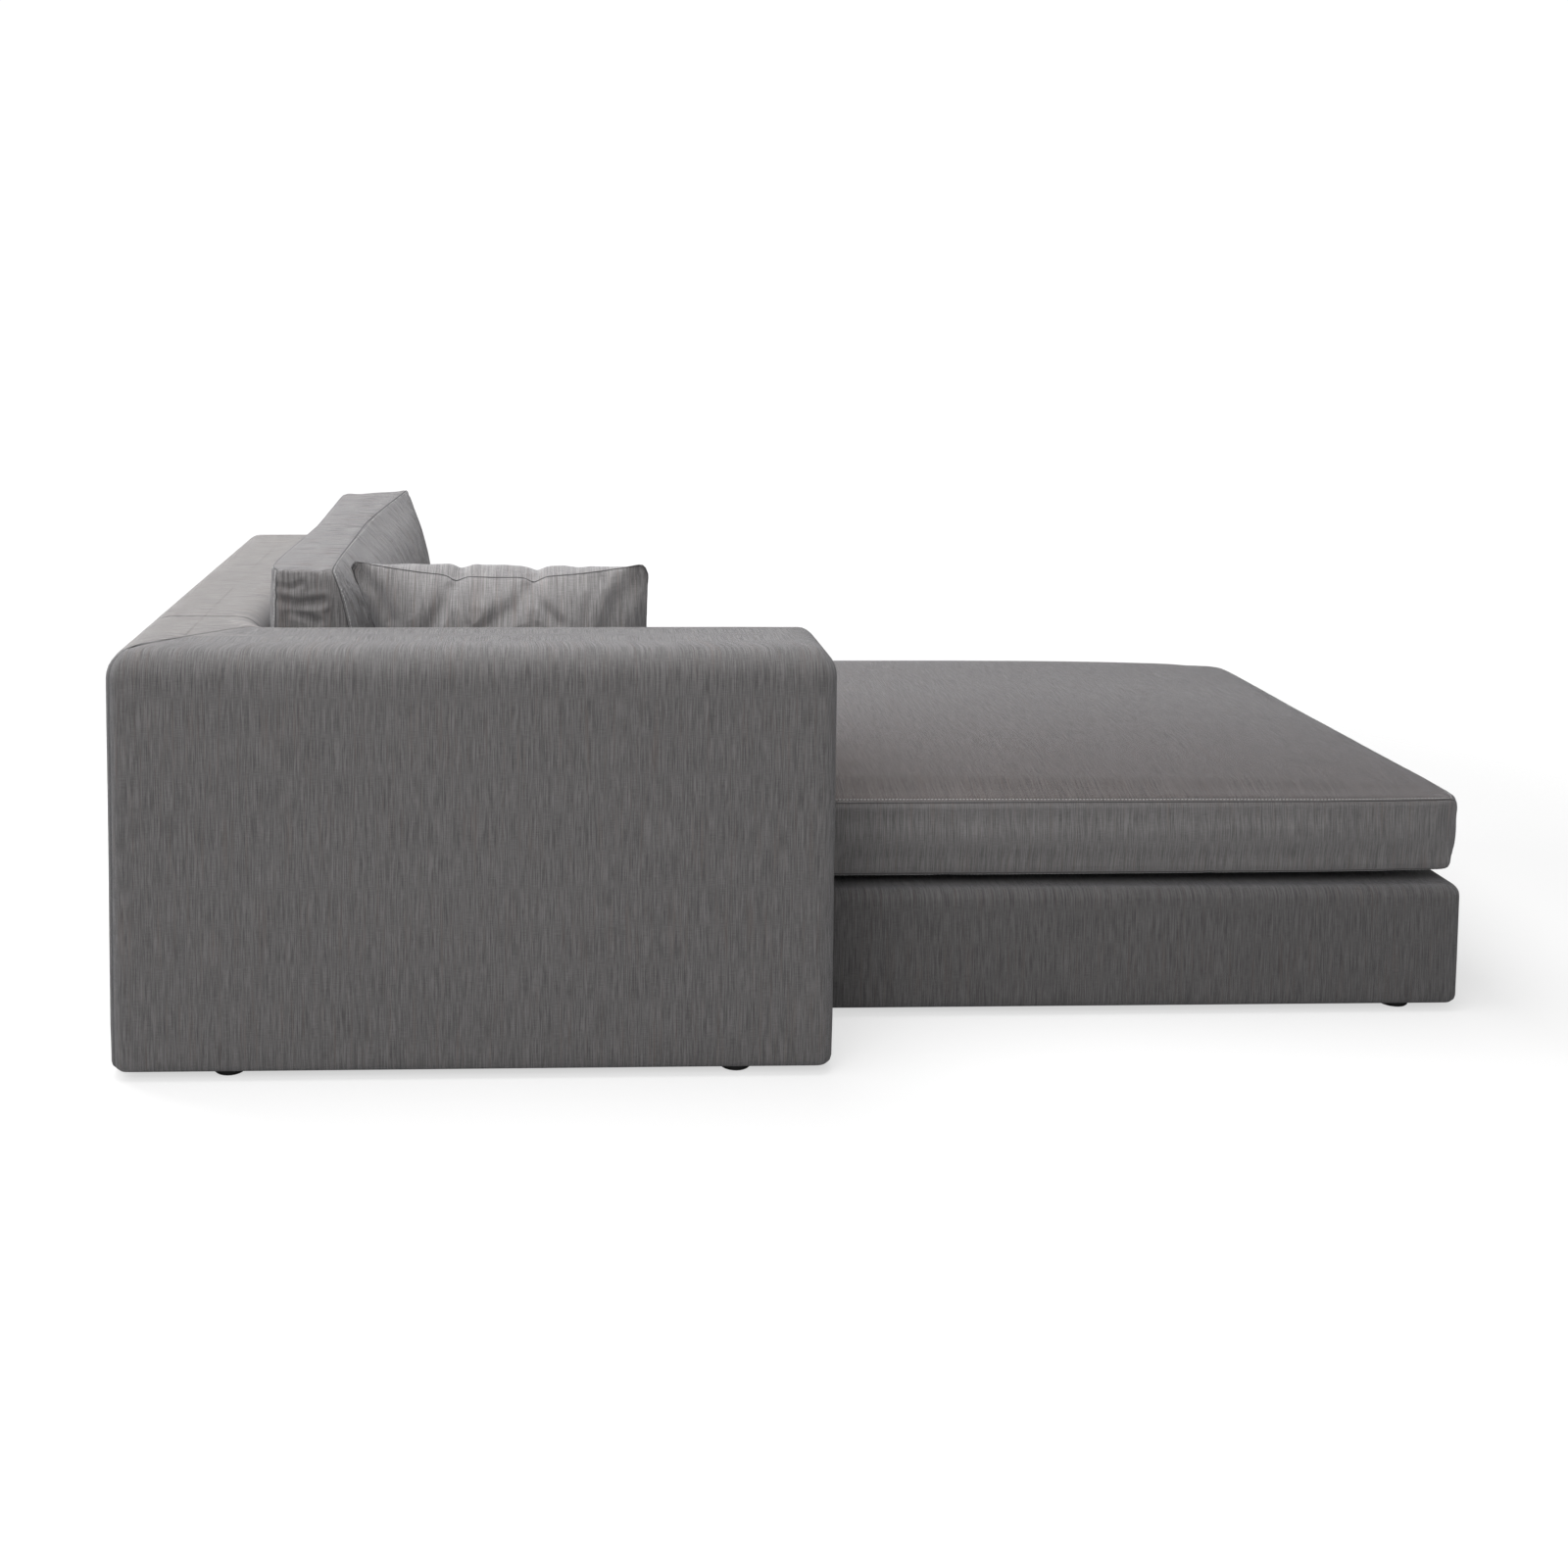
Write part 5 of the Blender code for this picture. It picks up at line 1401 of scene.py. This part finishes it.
def make_floor():
    """A pale floor that fades into the white room, and that glows a little for the camera only."""
    corners = [(FLOOR_HALF * x, FLOOR_HALF * y, 0.0) for x, y in ((-1, -1), (1, -1), (1, 1), (-1, 1))]
    floor = mesh_object("pale_floor", corners, [(0, 1, 2, 3)])
    surface = Surface("pale_floor", None)
    place = surface.place()
    values = {"Vector": place * (0.3, 0.3, 0.3)}
    reach = surface.node("ShaderNodeTexGradient", {"gradient_type": "SPHERICAL"}, values, 1)
    surface.finish(
        base_colour=surface.blend(surface.speckle(place, 0.6), (0.38, 0.38, 0.38), (0.40, 0.40, 0.40)),
        roughness=0.85,
        alpha=reach.within(0.20, 0.52),
        emission_color=surface.blend(surface.node("ShaderNodeLightPath"), (0.0, 0.0, 0.0), (1.0, 1.0, 1.0)),
        emission_strength=FLOOR_GLOW,
    )
    floor.data.materials.append(surface.material)
    floor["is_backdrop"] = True


def make_room():
    """A white world, which the camera sees brighter than it shines."""
    world = bpy.data.worlds.new("white_room")
    world.use_nodes = True
    tree = world.node_tree
    seen = tree.nodes.new("ShaderNodeLightPath")
    strength = tree.nodes.new("ShaderNodeMapRange")
    background = tree.nodes["Background"]
    tree.links.new(seen.outputs["Is Camera Ray"], strength.inputs["Value"])
    strength.inputs["To Min"].default_value, strength.inputs["To Max"].default_value = ROOM_STRENGTH
    background.inputs[0].default_value = (1.0, 1.0, 1.0, 1.0)
    tree.links.new(strength.outputs[0], background.inputs[1])
    bpy.context.scene.world = world
    bpy.context.scene.view_settings.view_transform = "Standard"


SURFACES = {}


class Step:
    """What the steps' operators share: each has work(sizes, colours)."""

    def execute(self, context):
        self.work(context.scene.daybed_sizes, context.scene.daybed_colours)
        return {"FINISHED"}


class DAYBED_OT_finishes(Step, bpy.types.Operator):
    """Make the materials"""

    bl_idname = "daybed.finishes"
    bl_label = "Finishes"

    def work(self, sizes, colours):
        pitch = sizes.thread_pitch
        # One fabric's colours for all the upholstery. The cushions' and the scatter cushion's copies are
        # made lighter, as painted light, and the base's darker, as painted shade beneath the seat cushion;
        # the scatter's higher lustre is its own sheen.
        walls = make_fabric("grey_upholstery", colours, pitch, 1.08)
        SURFACES.update(
            walls=walls,
            cushions=make_fabric("grey_cushion_fabric", colours, pitch, 1.28, 0.36),
            scatter=make_fabric("grey_scatter_fabric", colours, pitch, 1.55, 0.5),
            base=make_fabric("grey_base_fabric", colours, pitch, 0.84, 0.28),
            thread=make_thread(colours.sewing_thread),
            grey_fabric=walls,
            black_lining=make_lining(),
            cream_foam=make_foam(colours.foam),
            pale_timber=make_timber("planed_timber", "pale_timber", colours.timber),
            plywood=make_timber("sanded_plywood", "plywood", (0.60, 0.44, 0.27), (9.0, 9.0, 160.0), 0.8),
            elastic_webbing=make_webbing(),
            black_plastic=make_plastic(),
            zinc_steel=make_zinc(),
            zip_tape=make_zip_tape(),
        )


class DAYBED_OT_walls(Step, bpy.types.Operator):
    """Upholster arm, mitred corner, back and base"""

    bl_idname = "daybed.walls"
    bl_label = "Arm, back and base"

    def work(self, sizes, colours):
        make_walls(SURFACES["walls"])
        make_base(SURFACES["base"])


class DAYBED_OT_cushions(Step, bpy.types.Operator):
    """Stuff the seat cushion, the back cushion and the scatter cushion"""

    bl_idname = "daybed.cushions"
    bl_label = "Cushions"

    def work(self, sizes, colours):
        surface = SURFACES["cushions"]
        trees = (stitch_tree(sizes, SURFACES["thread"]), lip_tree(sizes, surface))
        make_seat_cushion(surface, trees, sizes.topstitch_offset)
        make_back_cushion(surface, trees, sizes.topstitch_offset)
        make_scatter_cushion(SURFACES["scatter"], trees)


class DAYBED_OT_inner_parts(Step, bpy.types.Operator):
    """Finish frame, foam, webbing, bolts, zips, glides and linings"""

    bl_idname = "daybed.inner_parts"
    bl_label = "Inner parts"

    def work(self, sizes, colours):
        for part in FRAME["record"]["subparts"]:
            materials = NODES[part["node"]].data.materials
            if not NODES[part["node"]].hide_render:
                materials.clear()
                materials.append(SURFACES[part["material_slot"]].material)


class DAYBED_OT_stage(Step, bpy.types.Operator):
    """Set the floor, the lights and the camera"""

    bl_idname = "daybed.stage"
    bl_label = "Stage"

    def work(self, sizes, colours):
        make_floor()
        make_room()
        make_lights()
        make_camera()


class DAYBED_PT_panel(bpy.types.Panel):
    """Lists the daybed's steps, sizes and colours"""

    bl_idname = "DAYBED_PT_panel"
    bl_label = "Daybed"
    bl_space_type = "VIEW_3D"
    bl_region_type = "UI"
    bl_category = "Daybed"

    def draw(self, context):
        for step in STEPS:
            self.layout.operator(step.bl_idname)
        for group in (context.scene.daybed_sizes, context.scene.daybed_colours):
            column = self.layout.column()
            for name in group.__annotations__:
                column.prop(group, name)


STEPS = (DAYBED_OT_finishes, DAYBED_OT_walls, DAYBED_OT_cushions, DAYBED_OT_inner_parts, DAYBED_OT_stage)
CLASSES = (DaybedSizes, DaybedColours, *STEPS, DAYBED_PT_panel)


def register():
    for each in CLASSES:
        bpy.utils.register_class(each)
    bpy.types.Scene.daybed_sizes = PointerProperty(type=DaybedSizes)
    bpy.types.Scene.daybed_colours = PointerProperty(type=DaybedColours)


def unregister():
    del bpy.types.Scene.daybed_colours
    del bpy.types.Scene.daybed_sizes
    for each in reversed(CLASSES):
        bpy.utils.unregister_class(each)


def main():
    register()
    for step in STEPS:
        group, name = step.bl_idname.split(".")
        getattr(getattr(bpy.ops, group), name)()
    boxes = {"cad": CAD_BOX, "visual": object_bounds()}
    plain = {key: [[float(part) for part in corner] for corner in box] for key, box in boxes.items()}


if __name__ == "__main__":
    main()
